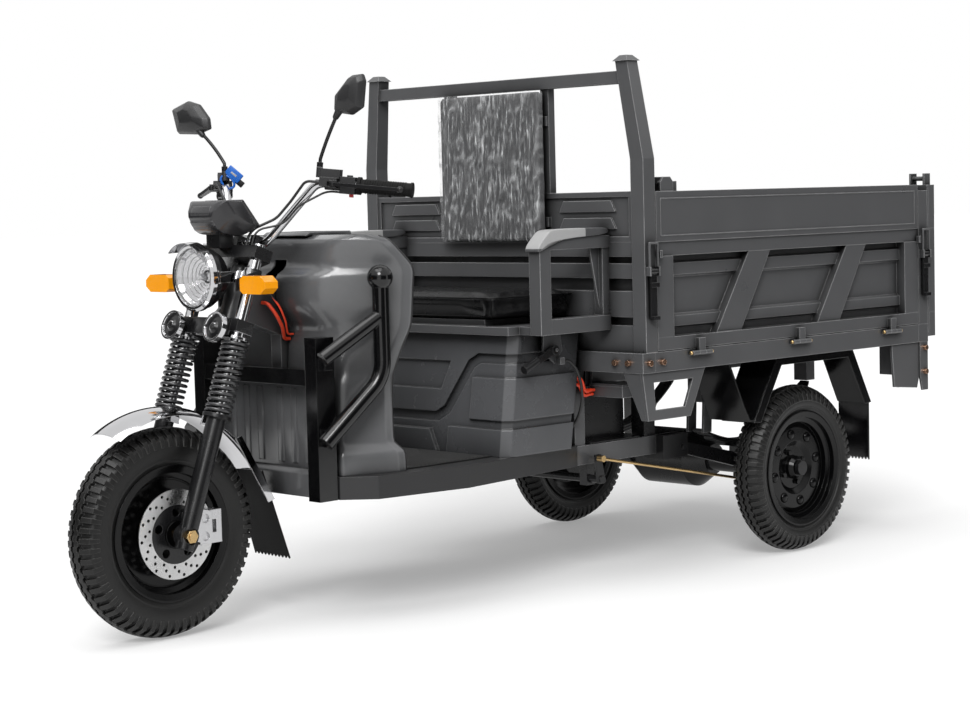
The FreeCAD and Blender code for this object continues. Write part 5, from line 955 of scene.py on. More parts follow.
def swollen(obj, shrink, cap, pressure, held):
    """Padded cover: an even remesh, blown up by cloth pressure, with each point's way capped."""
    middle = sum((Vector(c) for c in obj.bound_box), Vector()) / 8
    size = [max(c[i] for c in obj.bound_box) - min(c[i] for c in obj.bound_box) for i in range(3)]
    scale = [max(0.5, 1 - 2 * shrink / s) for s in size]
    for v in obj.data.vertices:
        v.co = middle + Vector([(v.co[i] - middle[i]) * scale[i] for i in range(3)])
    remesh = obj.modifiers.new("even", "REMESH")
    remesh.mode = "VOXEL"
    remesh.voxel_size = VOXEL
    applied(obj)
    rest = np.array([v.co for v in obj.data.vertices])
    cloth = obj.modifiers.new("cover", "CLOTH")
    cloth.settings.use_pressure = True
    cloth.settings.uniform_pressure_force = pressure
    cloth.settings.effector_weights.gravity = 0
    cloth.settings.quality = 4
    cloth.point_cache.frame_start = 1
    cloth.point_cache.frame_end = SWELL_FRAMES
    group = obj.vertex_groups.new(name="held")
    group.add([v.index for v in obj.data.vertices if held(v.co)], 1.0, "REPLACE")
    cloth.settings.vertex_group_mass = "held"
    scene = bpy.context.scene
    for k in range(1, SWELL_FRAMES + 1):
        scene.frame_set(k)
    applied(obj)
    scene.frame_set(1)
    moved = np.array([v.co for v in obj.data.vertices])
    way = moved - rest
    length = np.linalg.norm(way, axis=1, keepdims=True)
    capped = rest + way * np.minimum(1.0, cap / np.maximum(length, 1e-9))
    obj.data.vertices.foreach_set("co", capped.astype(np.float32).ravel())
    obj.data.update()


def padded_cover(node, name, material, **swell):
    """A swollen cover in the place of a CAD node."""
    pad = copied(node, name)
    swollen(pad, **swell)
    dressed(pad, SMOOTH, material)
    mounted(pad, "chassis", node, node)


def seat_cushion():
    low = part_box("seat_cushion")[0].z
    padded_cover("seat_cushion", "seat_cushion_cover", "seat_leather", shrink=0.004, cap=0.009,
                 pressure=4.0, held=lambda p: p.z < low + 0.010)


def backrest():
    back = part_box("backrest_pad")[1].x
    padded_cover("backrest_pad", "backrest_cover", "back_leather", shrink=0.001, cap=0.0022,
                 pressure=2.0, held=lambda p: p.x > back - 0.009)


ARM_Y = 400.0
ARM_PALE_END = 1082.0
ARM_TIP = 915.0
ARM_SIDE = [(1174, 942), (1174, 956), (1166, 963), (1140, 964), (960, 964), (946, 960), (912, 930),
            (901, 913), (903, 905), (911, 908), (944, 940)]
ARM_HEART = (1050, 945)
# Across a pad: place, and how far the outline draws in.
ARM_ROWS = ((-25, 5), (-24, 2), (-20, 0), (0, -0.8), (20, 0), (24, 2), (25, 5))


def armrests():
    parts = []
    for y in (-ARM_Y, ARM_Y):
        rows = []
        for across, inset in ARM_ROWS:
            row = []
            for x, z in ARM_SIDE:
                toward = Vector((ARM_HEART[0] - x, ARM_HEART[1] - z)).normalized() * inset
                row.append(at(x + toward.x * 0.6, y + across, z + toward.y))
            rows.append(row)
        parts.append(skin(rows))
    pads = shaped("armrest_covers", *joined(parts), 60, "arm_vinyl")
    soften = pads.modifiers.new("rounding", "SUBSURF")
    soften.levels = soften.render_levels = 2
    applied(pads)
    dressed(pads, 60, "arm_vinyl")
    form = bmesh.new()
    form.from_mesh(pads.data)
    for place, normal in ((at(ARM_PALE_END, 0, 0), (1, 0, 0)), (at(0, 0, ARM_TIP), (0, 0, 1))):
        everything = form.verts[:] + form.edges[:] + form.faces[:]
        bmesh.ops.bisect_plane(form, geom=everything, plane_co=place, plane_no=normal)
    form.to_mesh(pads.data)
    form.free()
    pads.data.materials.append(FINISHES["charcoal_paint"])
    for face in pads.data.polygons:
        behind = face.center.x > at(ARM_PALE_END, 0, 0).x
        tip = face.center.z < at(0, 0, ARM_TIP).z
        face.material_index = 1 if behind or tip else 0
    mounted(pads, "chassis", "armrest_pads", "armrest_pads")


# Cowl

# Height, front, half-width at the front, rear, half-width at the rear, and how soon the front corner turns.
COWL = [
    (372, 366, 252, 537, 308, 16),
    (414, 366, 251, 536, 307, 16),
    (424, 366, 250, 534, 305, 16),
    (444, 372, 238, 517, 292, 18),
    (456, 374, 235, 514, 290, 22),
    (540, 380, 226, 513, 290, 30),
    (604, 385, 216, 515, 291, 34),
    (622, 388, 210, 518, 293, 36),
    (680, 394, 194, 534, 307, 38),
    (734, 398, 176, 552, 322, 40),
    (764, 378, 160, 556, 325, 44),
    (794, 361, 152, 557, 327, 46),
    (850, 358, 154, 560, 329, 46),
    (868, 364, 158, 561, 330, 44),
    (880, 384, 166, 560, 329, 42),
    (892, 396, 172, 556, 326, 40),
    (935, 400, 190, 526, 306, 36),
    (955, 404, 204, 511, 290, 34),
    (967, 436, 222, 486, 262, 30),
]
COWL_WALL = 6.0
COWL_BAND = 24.0
COWL_TURN_IN = 9.0
COWL_STEPS = 56
COWL_LOW, COWL_TOP = COWL[0][0], COWL[-1][0]
ROOM_LOW, ROOM_TOP = 366, 929


def cowl_row(z):
    """The cowl's measures at a height, by a smooth curve through the table."""
    heights = [row[0] for row in COWL]
    k = max(0, min(len(COWL) - 2, sum(h <= z for h in heights) - 1))
    step = heights[k + 1] - heights[k]
    t = (z - heights[k]) / step

    def slope(i, c):
        a, b = max(i - 1, 0), min(i + 1, len(COWL) - 1)
        return (COWL[b][c] - COWL[a][c]) / (heights[b] - heights[a]) * step
    here, there = 2 * t ** 3 - 3 * t ** 2 + 1, 3 * t ** 2 - 2 * t ** 3
    leave, arrive = t ** 3 - 2 * t ** 2 + t, t ** 3 - t ** 2
    return [here * COWL[k][c] + leave * slope(k, c) + there * COWL[k + 1][c] + arrive * slope(k + 1, c)
            for c in range(1, 6)]


def cowl_half(z, wall=0.0, first=None, last=None):
    """Plan of one half at a height: front, rounded corner, flank, and the band that turns in at the rear."""
    front, front_half, rear, rear_half, corner = cowl_row(z)
    lean = (rear_half - front_half) / (rear - front)

    def flank(x):
        y = front_half + lean * (x - front)
        fold = rear - COWL_BAND
        if x > fold:
            y -= COWL_TURN_IN * (x - fold) / COWL_BAND
        return y - wall * math.sqrt(1 + lean * lean)
    stop = rear if last is None else (rear + 30 if last == "past" else last)
    if first is not None:
        edge = [(first, flank(first))]
    else:
        start = front + wall
        y0 = flank(start)
        tip = Vector((start, y0 - corner))
        turn = Vector((start, y0))
        away = Vector((start + corner * 0.9, flank(start + corner * 0.9)))
        edge = []
        for k in range(9):
            t = k / 8
            p = tip * (1 - t) ** 2 + turn * 2 * t * (1 - t) + away * t * t
            edge.append((p.x, p.y))
    fold = rear - COWL_BAND
    run = [x for x in (fold - 3, fold, fold + 3, rear - 2) if edge[-1][0] < x < stop - 1]
    return edge + [(x, flank(x)) for x in run] + [(stop, flank(stop))]


def cowl_block(name, low, high, **cut):
    heights = [low + (high - low) * k / COWL_STEPS for k in range(COWL_STEPS + 1)]
    halves = [cowl_half(min(max(z, COWL_LOW), COWL_TOP), **cut) for z in heights]
    most = max(len(h) for h in halves)
    rings = []
    for z, half in zip(heights, halves):
        half = half + [half[-1]] * (most - len(half))
        rings.append([at(x, y, z) for x, y in half] + [at(x, -y, z) for x, y in reversed(half)])
    return shaped(name, *skin(rings), 30)


def block_of(name, x0, x1, y0, y1, z0, z1):
    corners = [[at(x, y, z) for x, y in ((x0, y0), (x1, y0), (x1, y1), (x0, y1))] for z in (z0, z1)]
    return shaped(name, *skin(corners), 30)


def carved(obj, *tools):
    for tool in tools:
        cut = obj.modifiers.new("cut", "BOOLEAN")
        cut.operation = "DIFFERENCE"
        cut.solver = "EXACT"
        cut.object = tool
    applied(obj)
    for tool in tools:
        bpy.data.objects.remove(tool)
    return obj


def islands(node, name, keep):
    """The separate solids of a CAD node that keep() takes by their lowest and highest corners."""
    obj = copied(node, name)
    form = bmesh.new()
    form.from_mesh(obj.data)
    seen = set()
    drop = []
    for seed in form.verts:
        if seed in seen:
            continue
        group, queue = [], [seed]
        seen.add(seed)
        while queue:
            v = queue.pop()
            group.append(v)
            for e in v.link_edges:
                other = e.other_vert(v)
                if other not in seen:
                    seen.add(other)
                    queue.append(other)
        low = [min(v.co[i] for v in group) / MM for i in range(3)]
        high = [max(v.co[i] for v in group) / MM for i in range(3)]
        if not keep(low, high):
            drop += group
    bmesh.ops.delete(form, geom=drop, context="VERTS")
    form.to_mesh(obj.data)
    form.free()
    return obj


def rounded(obj, width, segments=2, angle=32):
    bevel = obj.modifiers.new("round", "BEVEL")
    bevel.width = width * MM
    bevel.segments = segments
    bevel.limit_method = "ANGLE"
    bevel.angle_limit = math.radians(angle)
    return applied(obj)


def cowl():
    shell = cowl_block("cowl_shell", COWL_LOW, COWL_TOP)
    carved(shell, cowl_block("skirt_room", ROOM_LOW, ROOM_TOP, wall=COWL_WALL, last=470),
           cowl_block("knee_room", ROOM_LOW, ROOM_TOP, wall=COWL_WALL, first=476, last="past"),
           block_of("neck_slot", 300, 460, -24, 24, ROOM_LOW, 905),
           block_of("bar_room", 300, 380, -248, 248, 596, 644))
    dressed(shell, 34, "cowl_plastic")
    rest = islands("front_fairing", "cowl_fittings", lambda low, high: high[2] - low[2] < 400)
    dissolve = rest.modifiers.new("flat", "DECIMATE")
    dissolve.decimate_type = "DISSOLVE"
    dissolve.angle_limit = math.radians(2)
    applied(rest)
    rounded(rest, 3.0)
    dressed(rest, 34, "cowl_plastic")
    trims = []
    for sign in (-1, 1):
        path = []
        for k in range(COWL_STEPS + 1):
            z = COWL_LOW + 2 + (COWL_TOP - COWL_LOW - 7) * k / COWL_STEPS
            _, _, rear, rear_half, _ = cowl_row(z)
            path.append(at(rear + 0.6, sign * (rear_half - COWL_TURN_IN - 3), z))
        trims.append(tube(path, 3.6 * MM, 8))
    edging = shaped("cowl_edging", *joined(trims), 50, "dark_plastic")
    whole = merged("cowl_cover", shell, rest, edging)
    mounted(whole, "chassis", "front_fairing", "front_fairing")


# Headlamp

LAMP_X, LAMP_Z = 118.0, 873.0
REFLECTOR_RINGS = (70.0, 61.0, 52.5, 44.5, 37.0, 30.0, 23.5, 17.0)
REFLECTOR_BACK = (17.0, 40.0, 60.0, 70.0)
REFLECTOR_SECTORS = 44
REFLECTOR_DEPTH = 46
FACET_STEP, FACET_WAVE = 2.2, 0.5
BULB_CAP = [(58, 0.0), (58, 13), (50, 13), (46, 8), (30, 8), (24, 5), (22, 0.0)]
LAMP_PANE = [(1, 71.6), (-4, 66), (-9, 50), (-12.5, 26), (-13.8, 0.0),
             (-11.4, 0.0), (-10, 26), (-6.6, 49), (-1.8, 64), (4, 69.4)]


def lamp_place(u, a, b):
    return at(LAMP_X + u, a, LAMP_Z + b)


def headlamp():
    """Faceted reflector in stepped rings, the bulb's cap and the domed pane."""
    rings = []
    for i, r in enumerate(REFLECTOR_RINGS):
        deep = 8 + REFLECTOR_DEPTH * (1 - (r / 70) ** 2)
        for sunk in (FACET_STEP, 0) if i else (FACET_STEP,):
            ring = []
            for k, a in enumerate(turns(REFLECTOR_SECTORS)):
                wave = FACET_WAVE if (k + i) % 2 else -FACET_WAVE
                ring.append(lamp_place(deep - sunk + wave, r * math.cos(a), r * math.sin(a)))
            rings.append(ring)
    for r in REFLECTOR_BACK:
        deep = 11 + REFLECTOR_DEPTH * (1 - (r / 72) ** 2)
        rings.append([lamp_place(deep, r * math.cos(a), r * math.sin(a)) for a in turns(REFLECTOR_SECTORS)])
    bowl = shaped("reflector", *skin(rings + rings[:1], capped=False), 4, "chrome_plate")
    bulb = shaped("bulb_cap", *lathe(BULB_CAP, 20, lamp_place), 35, "bright_alloy")
    glass = shaped("lamp_pane", *lathe(LAMP_PANE, 64, lamp_place), 40, "lamp_glass")
    whole = merged("headlamp_optics", bowl, bulb, glass)
    mounted(whole, "steering", "headlight_lens", "headlight_lens")


# Mirrors

# Middle of the head, its outline from the front, and where the stalk meets it.
MIRROR_SHAPES = {
    "left": ((366, -327, 1305),
             [(-49, 0), (12, 47), (46, 48), (53, 32), (42, -32), (4, -48), (-53, -40)], (-45, -43)),
    "right": ((366, 313, 1279),
              [(-76, 26), (-9, 44), (35, 33), (75, -5), (79, -33), (26, -45), (-53, -41)], (44, -40)),
}
MIRROR_TAPER = ((0, 0.0052), (0.004, 0.0075), (0.022, 0.0095), (0.036, 0.0125), (0.05, 0.013))
MIRROR_NUT = ((0.0, 0.0086), (0.012, 0.0086))


def joint_named(name):
    return next(j for j in frame["joints"] if j["name"] == name)


def mirror(side):
    """Mirror: a faceted shell round its crest, the glass behind it, a taper, a stalk and a nut."""
    middle, outline, foot = MIRROR_SHAPES[side]
    x, y, z = middle

    def ring(scale, ahead, shift=(0, 0)):
        return [at(x + ahead, y - (a * scale + shift[0]), z + b * scale + shift[1]) for a, b in outline]
    crest = [ring(0.93, 10), ring(1.0, 6), ring(1.0, -2), ring(0.84, -15), ring(0.40, -27, (3, 5))]
    shell = shaped("mirror_shell_" + side, *skin(crest), 30)
    rounded(shell, 3.2, 3, 20)
    dressed(shell, 30, "dark_plastic")
    pane = [ring(0.90, 9), ring(0.90, 10.8), ring(0.88, 11.2)]
    glass = shaped("mirror_pane_" + side, *skin(pane), 30, "mirror_glass")
    joint = joint_named("mirror_" + side + "_turn")
    base, up = Vector(joint["pos_m"]), Vector(joint["axis"]).normalized()
    seat = at(x - 4, y - foot[0], z + foot[1])
    into = at(x - 2, y - foot[0] * 0.5, z + foot[1] * 0.45)
    lift = base + up * 0.020
    bow = lift.lerp(seat, 0.42) + up * 0.012
    path = [base.lerp(lift, k / 3) for k in range(3)]
    path += [lift * (1 - t) ** 2 + bow * 2 * t * (1 - t) + seat * t * t for t in (k / 10 for k in range(11))]
    stalk = shaped("mirror_stalk_" + side, *tube(path, 4.4 * MM, 12), 50, "satin_black")
    run = (into - path[-3]).normalized()
    cone = round_rows(path[-1] - run * 0.016, run, MIRROR_TAPER, 14)
    taper = shaped("mirror_taper_" + side, *skin(cone), 40, "dark_plastic")
    nut = shaped("mirror_nut_" + side, *skin(round_rows(base, up, MIRROR_NUT, 6)), 30, "satin_black")
    whole = merged("mirror_" + side + "_head", shell, glass, stalk, taper, nut)
    mounted(whole, "mirror_" + side, "mirror_" + side, "mirror_" + side)


# Film over the backrest

FILM_HALF_Y, FILM_HALF_Z = 187.0, 195.0
FILM_TURN = 11.0
FILM_HEM = 12.0
FILM_LIFT = 3.0
FILM_COLUMNS, FILM_ROWS = 110, 120
FILM_MIDDLE = (926 + 1338) / 2
FILM_FRONT = 1146 - FILM_LIFT
FILM_REACH = FILM_TURN * math.pi / 2 + FILM_HEM
# Lean and stretch of the film's painted highlight streaks.
STREAK_LEAN = math.radians(-30)
STREAK_SCALE = (1, 128, 17)


def film_finish():
    """Clear wrapping: nearly invisible, with white streaks along its creases and in a slanting noise, as
    painted highlight.
    """
    material = finish("clear_film", (0.80, 0.81, 0.82), 0.16, drift=0.04, spread=0.05, grain=300, depth=0.0,
                      edge=0.0004)
    tree = material.node_tree
    shader = tree.nodes["Principled BSDF"]
    place = tree.nodes.new("ShaderNodeMapping")
    place.inputs["Rotation"].default_value = (STREAK_LEAN, 0, 0)
    place.inputs["Scale"].default_value = STREAK_SCALE
    tree.links.new(own_place(tree), place.inputs["Vector"])
    highlight_streak = noise_node(tree, 1.0, 5, place.outputs[0], 0.6)
    # The crease attribute weights the painted highlight along the film's folds.
    crease = tree.nodes.new("ShaderNodeAttribute")
    crease.attribute_name = "crease"
    ridge = math_node(tree, "POWER", math_node(tree, "MULTIPLY", highlight_streak, 1.52), 10.0)
    streak_highlight_alpha = math_node(tree, "ADD", math_node(tree, "MULTIPLY", ridge, 0.55), 0.05)
    crease_highlight_alpha = math_node(tree, "ADD", streak_highlight_alpha, math_node(tree, "MULTIPLY", crease.outputs["Fac"], 0.55))
    tree.links.new(math_node(tree, "MINIMUM", crease_highlight_alpha, 0.85), shader.inputs["Alpha"])


def backrest_film():
    film_finish()
    grid, crease_highlights = [], []
    for j in range(FILM_ROWS + 1):
        for i in range(FILM_COLUMNS + 1):
            u = (2 * i / FILM_COLUMNS - 1) * (FILM_HALF_Y + FILM_REACH)
            v = (2 * j / FILM_ROWS - 1) * (FILM_HALF_Z + FILM_REACH)
            y = max(-FILM_HALF_Y, min(FILM_HALF_Y, u))
            z = max(-FILM_HALF_Z, min(FILM_HALF_Z, v))
            over = Vector((u - y, v - z))
            away = over.length
            x = FILM_FRONT
            if away > 1e-6:
                over /= away
                turn = min(away / FILM_TURN, math.pi / 2)
                y += over.x * FILM_TURN * math.sin(turn)
                z += over.y * FILM_TURN * math.sin(turn)
                past = max(0.0, min(away, FILM_REACH) - FILM_TURN * math.pi / 2)
                x += FILM_TURN * (1 - math.cos(turn)) + past
            slant = Vector((y * 0.030 + z * 0.010, z * 0.0085, 3.1))
            fold = noise.noise(slant) + 0.5 * noise.noise(slant * 2.3 + Vector((5, 2, 0)))
            ripple = noise.noise(Vector((y * 0.05, z * 0.05, 8.0)))
            sharp = max(0.0, 1 - abs(fold) * 5.0)
            lift = 2.6 * sharp + 0.9 * ripple
            grid.append(at(x - lift - 0.9, y, FILM_MIDDLE + z))
            # Weight of the painted highlight along each sharp fold.
            crease_highlights.append(sharp * max(0.0, 0.25 + ripple))
    faces = []
    for j in range(FILM_ROWS):
        for i in range(FILM_COLUMNS):
            a = j * (FILM_COLUMNS + 1) + i
            faces.append((a, a + 1, a + FILM_COLUMNS + 2, a + FILM_COLUMNS + 1))
    mesh = bpy.data.meshes.new("backrest_film")
    mesh.from_pydata([tuple(p) for p in grid], [], faces)
    film = linked(bpy.data.objects.new("backrest_film", mesh))
    line = mesh.attributes.new("crease", "FLOAT", "POINT")
    line.data.foreach_set("value", crease_highlights)
    dressed(film, SMOOTH, "clear_film")
    mounted(film, "chassis", "backrest_pad")


# Small fittings

BAR_PERCH = {label: at(372, sign * 185, 1098) for label, sign in SIDES}
BAR_TIP = {label: at(510, sign * 375, 1073) for label, sign in SIDES}
BAR_RUN = {label: (BAR_TIP[label] - BAR_PERCH[label]).normalized() for label, _ in SIDES}
GRIP_START, GRIP_RIBS, GRIP_PITCH = 0.122, 17, 0.0062
GRIP_RIB = ((0, 0.0168), (0.0008, 0.0184), (0.0026, 0.0184), (0.0034, 0.0168))


def grip_ribs():
    for side, body, node in (("left", "steering", "left_grip"), ("right", "throttle", "throttle_grip")):
        run = BAR_RUN[side]
        rib = skin(round_rows(Vector(), run, GRIP_RIB, 20))
        first = BAR_PERCH[side] + run * GRIP_START
        ribs = repeated("grip_ribs_" + side, *rib, GRIP_RIBS, "soft_rubber", first, step=run * GRIP_PITCH)
        mounted(ribs, body, node)


DISH_RING = (92.0, 131.0)
DISH_SIDES = ((-13.4, -12.0), (-6.0, -4.6))
RIM_HOLE_R, RIM_LOBES, LOBE_FIRST, LOBE_OUT = 100.0, 8, 0.2, 9.6
RIM_LOBE = ((-0.004, 0.0125), (0.0, 0.0150), (0.003, 0.0142), (0.0055, 0.0112), (0.0068, 0.006))


def wheel_plates():
    """Plain rings over the front dish's lightening holes, and domed lobes over the rear ones."""
    rings = []
    inner, outer = DISH_RING
    for y0, y1 in DISH_SIDES:
        profile = [(y0, inner), (y0, outer), (y1, outer), (y1, inner), (y0, inner)]
        rings.append(lathe(profile, 72, lambda u, a, b: at(a, u, FRONT_R + b)))
    front = shaped("front_dish_ring", *joined(rings), 40, "rim_enamel")
    mounted(front, "front_wheel", "front_rim")
    for side, sign in SIDES:
        middle = Vector((math.cos(LOBE_FIRST), 0, math.sin(LOBE_FIRST))) * RIM_HOLE_R * MM
        middle.y = sign * LOBE_OUT * MM
        dome = skin(round_rows(middle, Vector((0, sign, 0)), RIM_LOBE, 20))
        hub = at(AXLE_REAR, sign * REAR_TRACK, REAR_R)
        lobes = repeated("rim_lobes_" + side, *dome, RIM_LOBES, "rim_enamel", hub,
                         turn=(0, 2 * math.pi / RIM_LOBES, 0), crease=60)
        mounted(lobes, "rear_wheel_" + side, "rear_rim_" + side)


HINGE_X = (1390.0, 1832.0, 2280.0)
HINGE_HALF = 0.0418
PIN_CAP = ((0.0, 0.0052), (0.0034, 0.0052), (0.0046, 0.0036))


def hinge_caps():
    """Plated heads on the ends of the gates' hinge pins."""
    ends = [Vector((sign, 0, 0)) for _, sign in SIDES]
    shape = joined([skin(round_rows(end * HINGE_HALF, end, PIN_CAP, 6)) for end in ends])
    for label, _ in SIDES:
        pin = Vector(joint_named("gate_" + label + "_drop")["pos_m"])
        first, second, rear = (Vector((at(x, 0, 0).x, pin.y, pin.z)) for x in HINGE_X)
        caps = [repeated("hinge_caps_" + label, *shape, 2, "zinc_gold", first, step=second - first),
                repeated("hinge_caps_rear_" + label, *shape, 1, "zinc_gold", rear)]
        mounted(merged("hinge_pin_caps_" + label, *caps), "chassis", "frame_bolts")


def bar_plate(name, middle, along, out, half_a, half_b, thick, material, soft=2.0):
    """A rounded plate that stands on a surface: along is its long way, out its way off the surface."""
    along, out = Vector(along).normalized(), Vector(out).normalized()
    other = out.cross(along)
    corners = [along * half_a * a + other * half_b * b for a, b in ((-1, -1), (1, -1), (1, 1), (-1, 1))]
    rings = [[middle + (corner + out * h) * MM for corner in corners] for h in (-1.0, thick)]
    plate = shaped(name, *skin(rings), 30)
    rounded(plate, soft, 3)
    return dressed(plate, 34, material)


POD = [(160, 46, 1051), (168, 58, 1058), (176, 72, 1060), (221, 76, 1057), (271, 74, 994), (266, 66, 986),
       (232, 58, 971), (182, 50, 978), (166, 50, 988), (147, 46, 1020), (150, 50, 1034), (200, 76, 1025),
       (235, 76, 1005)]
POD_FACE = Vector((65, 0, 50)).normalized()
POD_NOSE = Vector((-31, 0, 13)).normalized()
POD_UNDER = Vector((-32, 0, -19)).normalized()
ACROSS, UP, DOWN = Vector((0, 1, 0)), Vector((0, 0, 1)), Vector((0, 0, -1))


def dash_details():
    """Meter pod: a faceted shell, a rimmed face towards the rider, a stepped nose and a neck."""
    form = bmesh.new()
    for x, y, z in POD:
        for sign in (-1, 1):
            form.verts.new(at(x, sign * y, z))
    bmesh.ops.convex_hull(form, input=form.verts[:])
    bmesh.ops.dissolve_limit(form, angle_limit=math.radians(4), verts=form.verts[:], edges=form.edges[:])
    bmesh.ops.recalc_face_normals(form, faces=form.faces[:])
    mesh = bpy.data.meshes.new("meter_case")
    form.to_mesh(mesh)
    form.free()
    case = linked(bpy.data.objects.new("meter_case", mesh))
    rounded(case, 3.0, 3, 12)
    dressed(case, 20, "meter_plastic")
    middle = at(246, 0, 1025)
    rim = bar_plate("meter_rim", middle, ACROSS, POD_FACE, 77, 42, 6.0, "meter_plastic", 2.6)
    raised = middle + POD_FACE * 6 * MM
    glass = bar_plate("meter_glass", raised, ACROSS, POD_FACE, 62, 30, 1.4, "screen_glass", 0.8)
    panel = bar_plate("meter_panel", at(153.5, 0, 1035.5), ACROSS, POD_NOSE, 36, 11, 3.2, "meter_plastic")
    shelf = bar_plate("meter_shelf", at(157, 0, 1004), ACROSS, POD_UNDER, 45, 8, 3.6, "meter_plastic")
    neck = bar_plate("meter_neck", at(208, 0, 943), ACROSS, UP, 28, 22, 36, "satin_black")
    whole = merged("meter_cover", case, rim, glass, panel, shelf, neck)
    mounted(whole, "steering", "dashboard", "dashboard")


CLIP = at(392, 172, 1127)
CLIP_ALONG = Vector((0.5, -0.55, -0.66)).normalized()
CLIP_OUT = Vector((-0.75, -0.66, 0)).normalized()


def clip_and_switch():
    """Blank spare-key clip on the right perch, and the switches under and over the left one."""
    tag = bar_plate("clip_tag", CLIP, CLIP_ALONG, CLIP_OUT, 22, 13, 6, "blue_clip", 1.8)
    other = CLIP_OUT.cross(CLIP_ALONG)
    middle = CLIP + other * -0.026 + CLIP_OUT * 0.003
    loop = [middle + (CLIP_ALONG * math.cos(t) * 20 + other * math.sin(t) * 13) * MM for t in turns(28)]
    ring = shaped("clip_ring", *tube(loop + loop[:1], 3.2 * MM, 8), 50, "blue_clip")
    raised = CLIP + CLIP_OUT * 5 * MM
    slide = bar_plate("clip_slide", raised, CLIP_ALONG, CLIP_OUT, 9, 2.6, 1.6, "arm_vinyl", 0.6)
    body = bar_plate("clip_body", at(402, 168, 1108), CLIP_ALONG, CLIP_OUT, 16, 8, 7, "satin_black", 1.6)
    mounted(merged("spare_key_clip", tag, ring, slide, body), "steering", "switch_housings")
    perch, run = BAR_PERCH["left"], BAR_RUN["left"]
    under = perch + run * 0.086 + Vector((0, 0, -0.021))
    over = perch + run * 0.080 + Vector((0.004, -0.002, 0.019))
    start = bar_plate("start_switch", under, run, DOWN, 5, 4, 9, "red_lens", 1.0)
    top = bar_plate("lamp_switch", over, run, UP, 7, 5, 5, "dark_plastic", 1.4)
    mounted(merged("bar_switches", start, top), "steering", "switch_housings")


MAT_FRONT, MAT_REAR, MAT_HALF = 548.0, 850.0, 286.0
MAT_LOW, MAT_THICK = 372.4, 3.0
MAT_ACROSS, MAT_LONG = 40, 30
MAT_RUMPLE = 2.2
MAT_RIBS, MAT_RIB_PITCH, MAT_EDGE = 22, 0.0132, 12
MAT_RIB = ((-2.2, 0), (-1.2, 1.6), (1.2, 1.6), (2.2, 0))


def floor_mat():
    """Ribbed rubber mat in the footwell, a little rumpled."""
    n = MAT_ACROSS + 1
    top = (MAT_LONG + 1) * n
    points, faces = [], []
    for lift in (0.0, MAT_THICK):
        for i in range(MAT_LONG + 1):
            for j in range(n):
                x = MAT_FRONT + (MAT_REAR - MAT_FRONT) * i / MAT_LONG
                y = -MAT_HALF + 2 * MAT_HALF * j / MAT_ACROSS
                wave = noise.noise(Vector((x * 0.012, y * 0.009, 1.7)))
                rumple = MAT_RUMPLE * max(0.0, wave) if lift else 0.0
                points.append(at(x, y, MAT_LOW + lift + rumple))
    for i in range(MAT_LONG):
        for j in range(MAT_ACROSS):
            a = i * n + j
            faces.append((a, a + n, a + n + 1, a + 1))
            faces.append((top + a, top + a + 1, top + a + n + 1, top + a + n))
    border = list(range(n)) + [i * n + MAT_ACROSS for i in range(1, MAT_LONG + 1)]
    border += [MAT_LONG * n + j for j in range(MAT_ACROSS - 1, -1, -1)]
    border += [i * n for i in range(MAT_LONG - 1, 0, -1)]
    for a, b in zip(border, border[1:] + border[:1]):
        faces.append((a, b, top + b, top + a))
    sheet = shaped("mat_sheet", points, faces, 40, "mat_rubber")
    reach = MAT_HALF - MAT_EDGE
    rib = skin([[Vector((a, y, h)) * MM for a, h in MAT_RIB] for y in (-reach, reach)])
    ribs = repeated("mat_ribs", *rib, MAT_RIBS, "mat_rubber", at(MAT_FRONT + MAT_EDGE, 0, 375.2),
                    step=(MAT_RIB_PITCH, 0, 0))
    mounted(merged("floor_mat", sheet, ribs), "chassis", "footboard")


GATE_LINES = [((1242, 1036), (2412, 1036)), ((1242, 938), (2412, 938)),
              ((1242, 938), (1242, 1036)), ((2412, 938), (2412, 1036))]
GATE_FACE = 547.0
BEAD = ((-2.4, -0.4), (-1.0, 1.3), (1.0, 1.3), (2.4, -0.4))


def gate_lines():
    """Pressed bead round the upper panel of each drop side."""
    for label, sign in SIDES:
        y, out = sign * GATE_FACE, Vector((0, sign, 0))
        beads = []
        for (xa, za), (xb, zb) in GATE_LINES:
            up = UP if xa != xb else Vector((1, 0, 0))
            rows = [[p + up * w * MM + out * h * MM for w, h in BEAD] for p in (at(xa, y, za), at(xb, y, zb))]
            beads.append(skin(rows))
        lines = shaped("gate_bead_" + label, *joined(beads), 30, "charcoal_paint")
        mounted(lines, "gate_" + label, "side_gate_" + label)


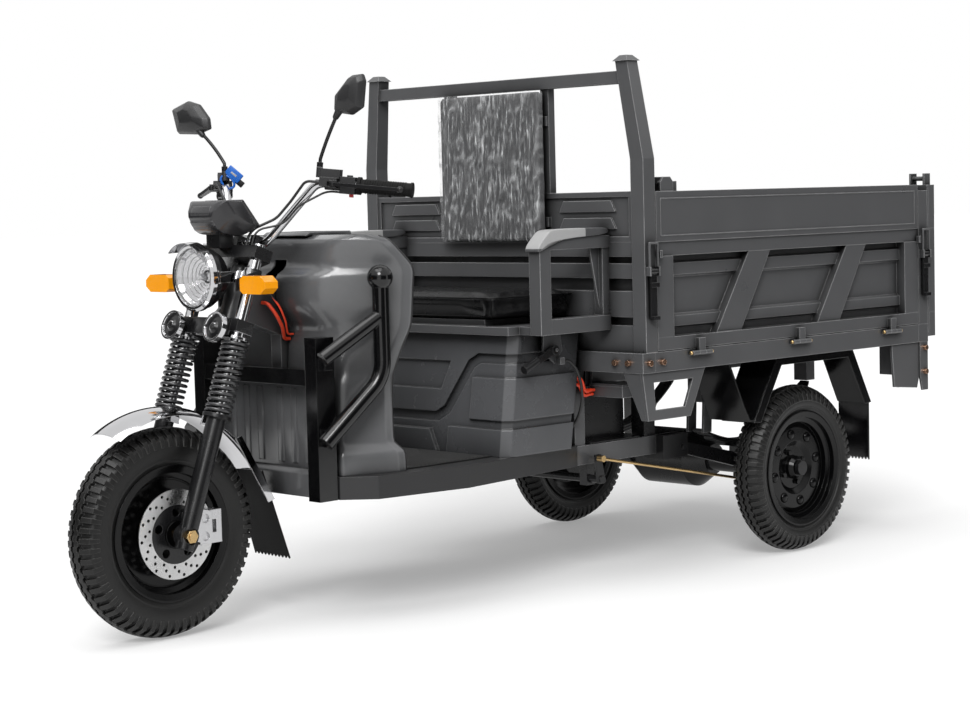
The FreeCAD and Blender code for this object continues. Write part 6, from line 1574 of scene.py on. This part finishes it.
PIPING_Z = 786.0
PIPING_SWELL = 1.5
SEAM_HEIGHTS = (734, 748, 762, 776, PIPING_Z)
# The cushion's plan: middle, half-length and half-width, its corner, and how much it widens to the rear.
CUSHION_MID, CUSHION_LONG, CUSHION_WIDE = 1028.0, 146.0, 266.0
CUSHION_CORNER, CUSHION_FLARE = 34.0, 36.0 / 266.0


def cushion_seams():
    """Piping along the cushion's top edge, and the upright seam of its front corners."""
    def corner_spot(sign_a, sign_b, angle, z):
        t = math.radians(angle)
        a = sign_a * (CUSHION_LONG - CUSHION_CORNER) + (CUSHION_CORNER + PIPING_SWELL) * math.cos(t)
        b = sign_b * (CUSHION_WIDE - CUSHION_CORNER) + (CUSHION_CORNER + PIPING_SWELL) * math.sin(t)
        return at(CUSHION_MID + a, b * (1 + CUSHION_FLARE * (a / (2 * CUSHION_LONG) + 0.5)), z)
    loop = []
    for sign_a, sign_b, first in ((1, 1, 0), (-1, 1, 90), (-1, -1, 180), (1, -1, 270)):
        loop += [corner_spot(sign_a, sign_b, first + 15 * k, PIPING_Z) for k in range(7)]
    seams = [tube(loop + loop[:1], 2.6 * MM, 8)]
    for sign, angle in ((-1, 225), (1, 135)):
        seams.append(tube([corner_spot(-1, sign, angle, z) for z in SEAM_HEIGHTS], 1.8 * MM, 6))
    piping = shaped("cushion_piping", *joined(seams), 50, "seat_leather")
    mounted(piping, "chassis", "seat_cushion")


# Build

photo_camera()
studio()
make_finishes()
paint_nodes()
tyre("front_tyre_cover", FRONT_R, 97.0, (0, 0, FRONT_R), "front_wheel", "front_tyre")
for label, sign in SIDES:
    hub = (AXLE_REAR, sign * REAR_TRACK, REAR_R)
    tyre("rear_tyre_cover_" + label, REAR_R, 90.0, hub, "rear_wheel_" + label, "rear_tyre_" + label)
coil_springs()
leaf_packs()
seat_cushion()
backrest()
backrest_film()
armrests()
cowl()
headlamp()
for label, _ in SIDES:
    mirror(label)
grip_ribs()
wheel_plates()
hinge_caps()
dash_details()
clip_and_switch()
floor_mat()
gate_lines()
cushion_seams()
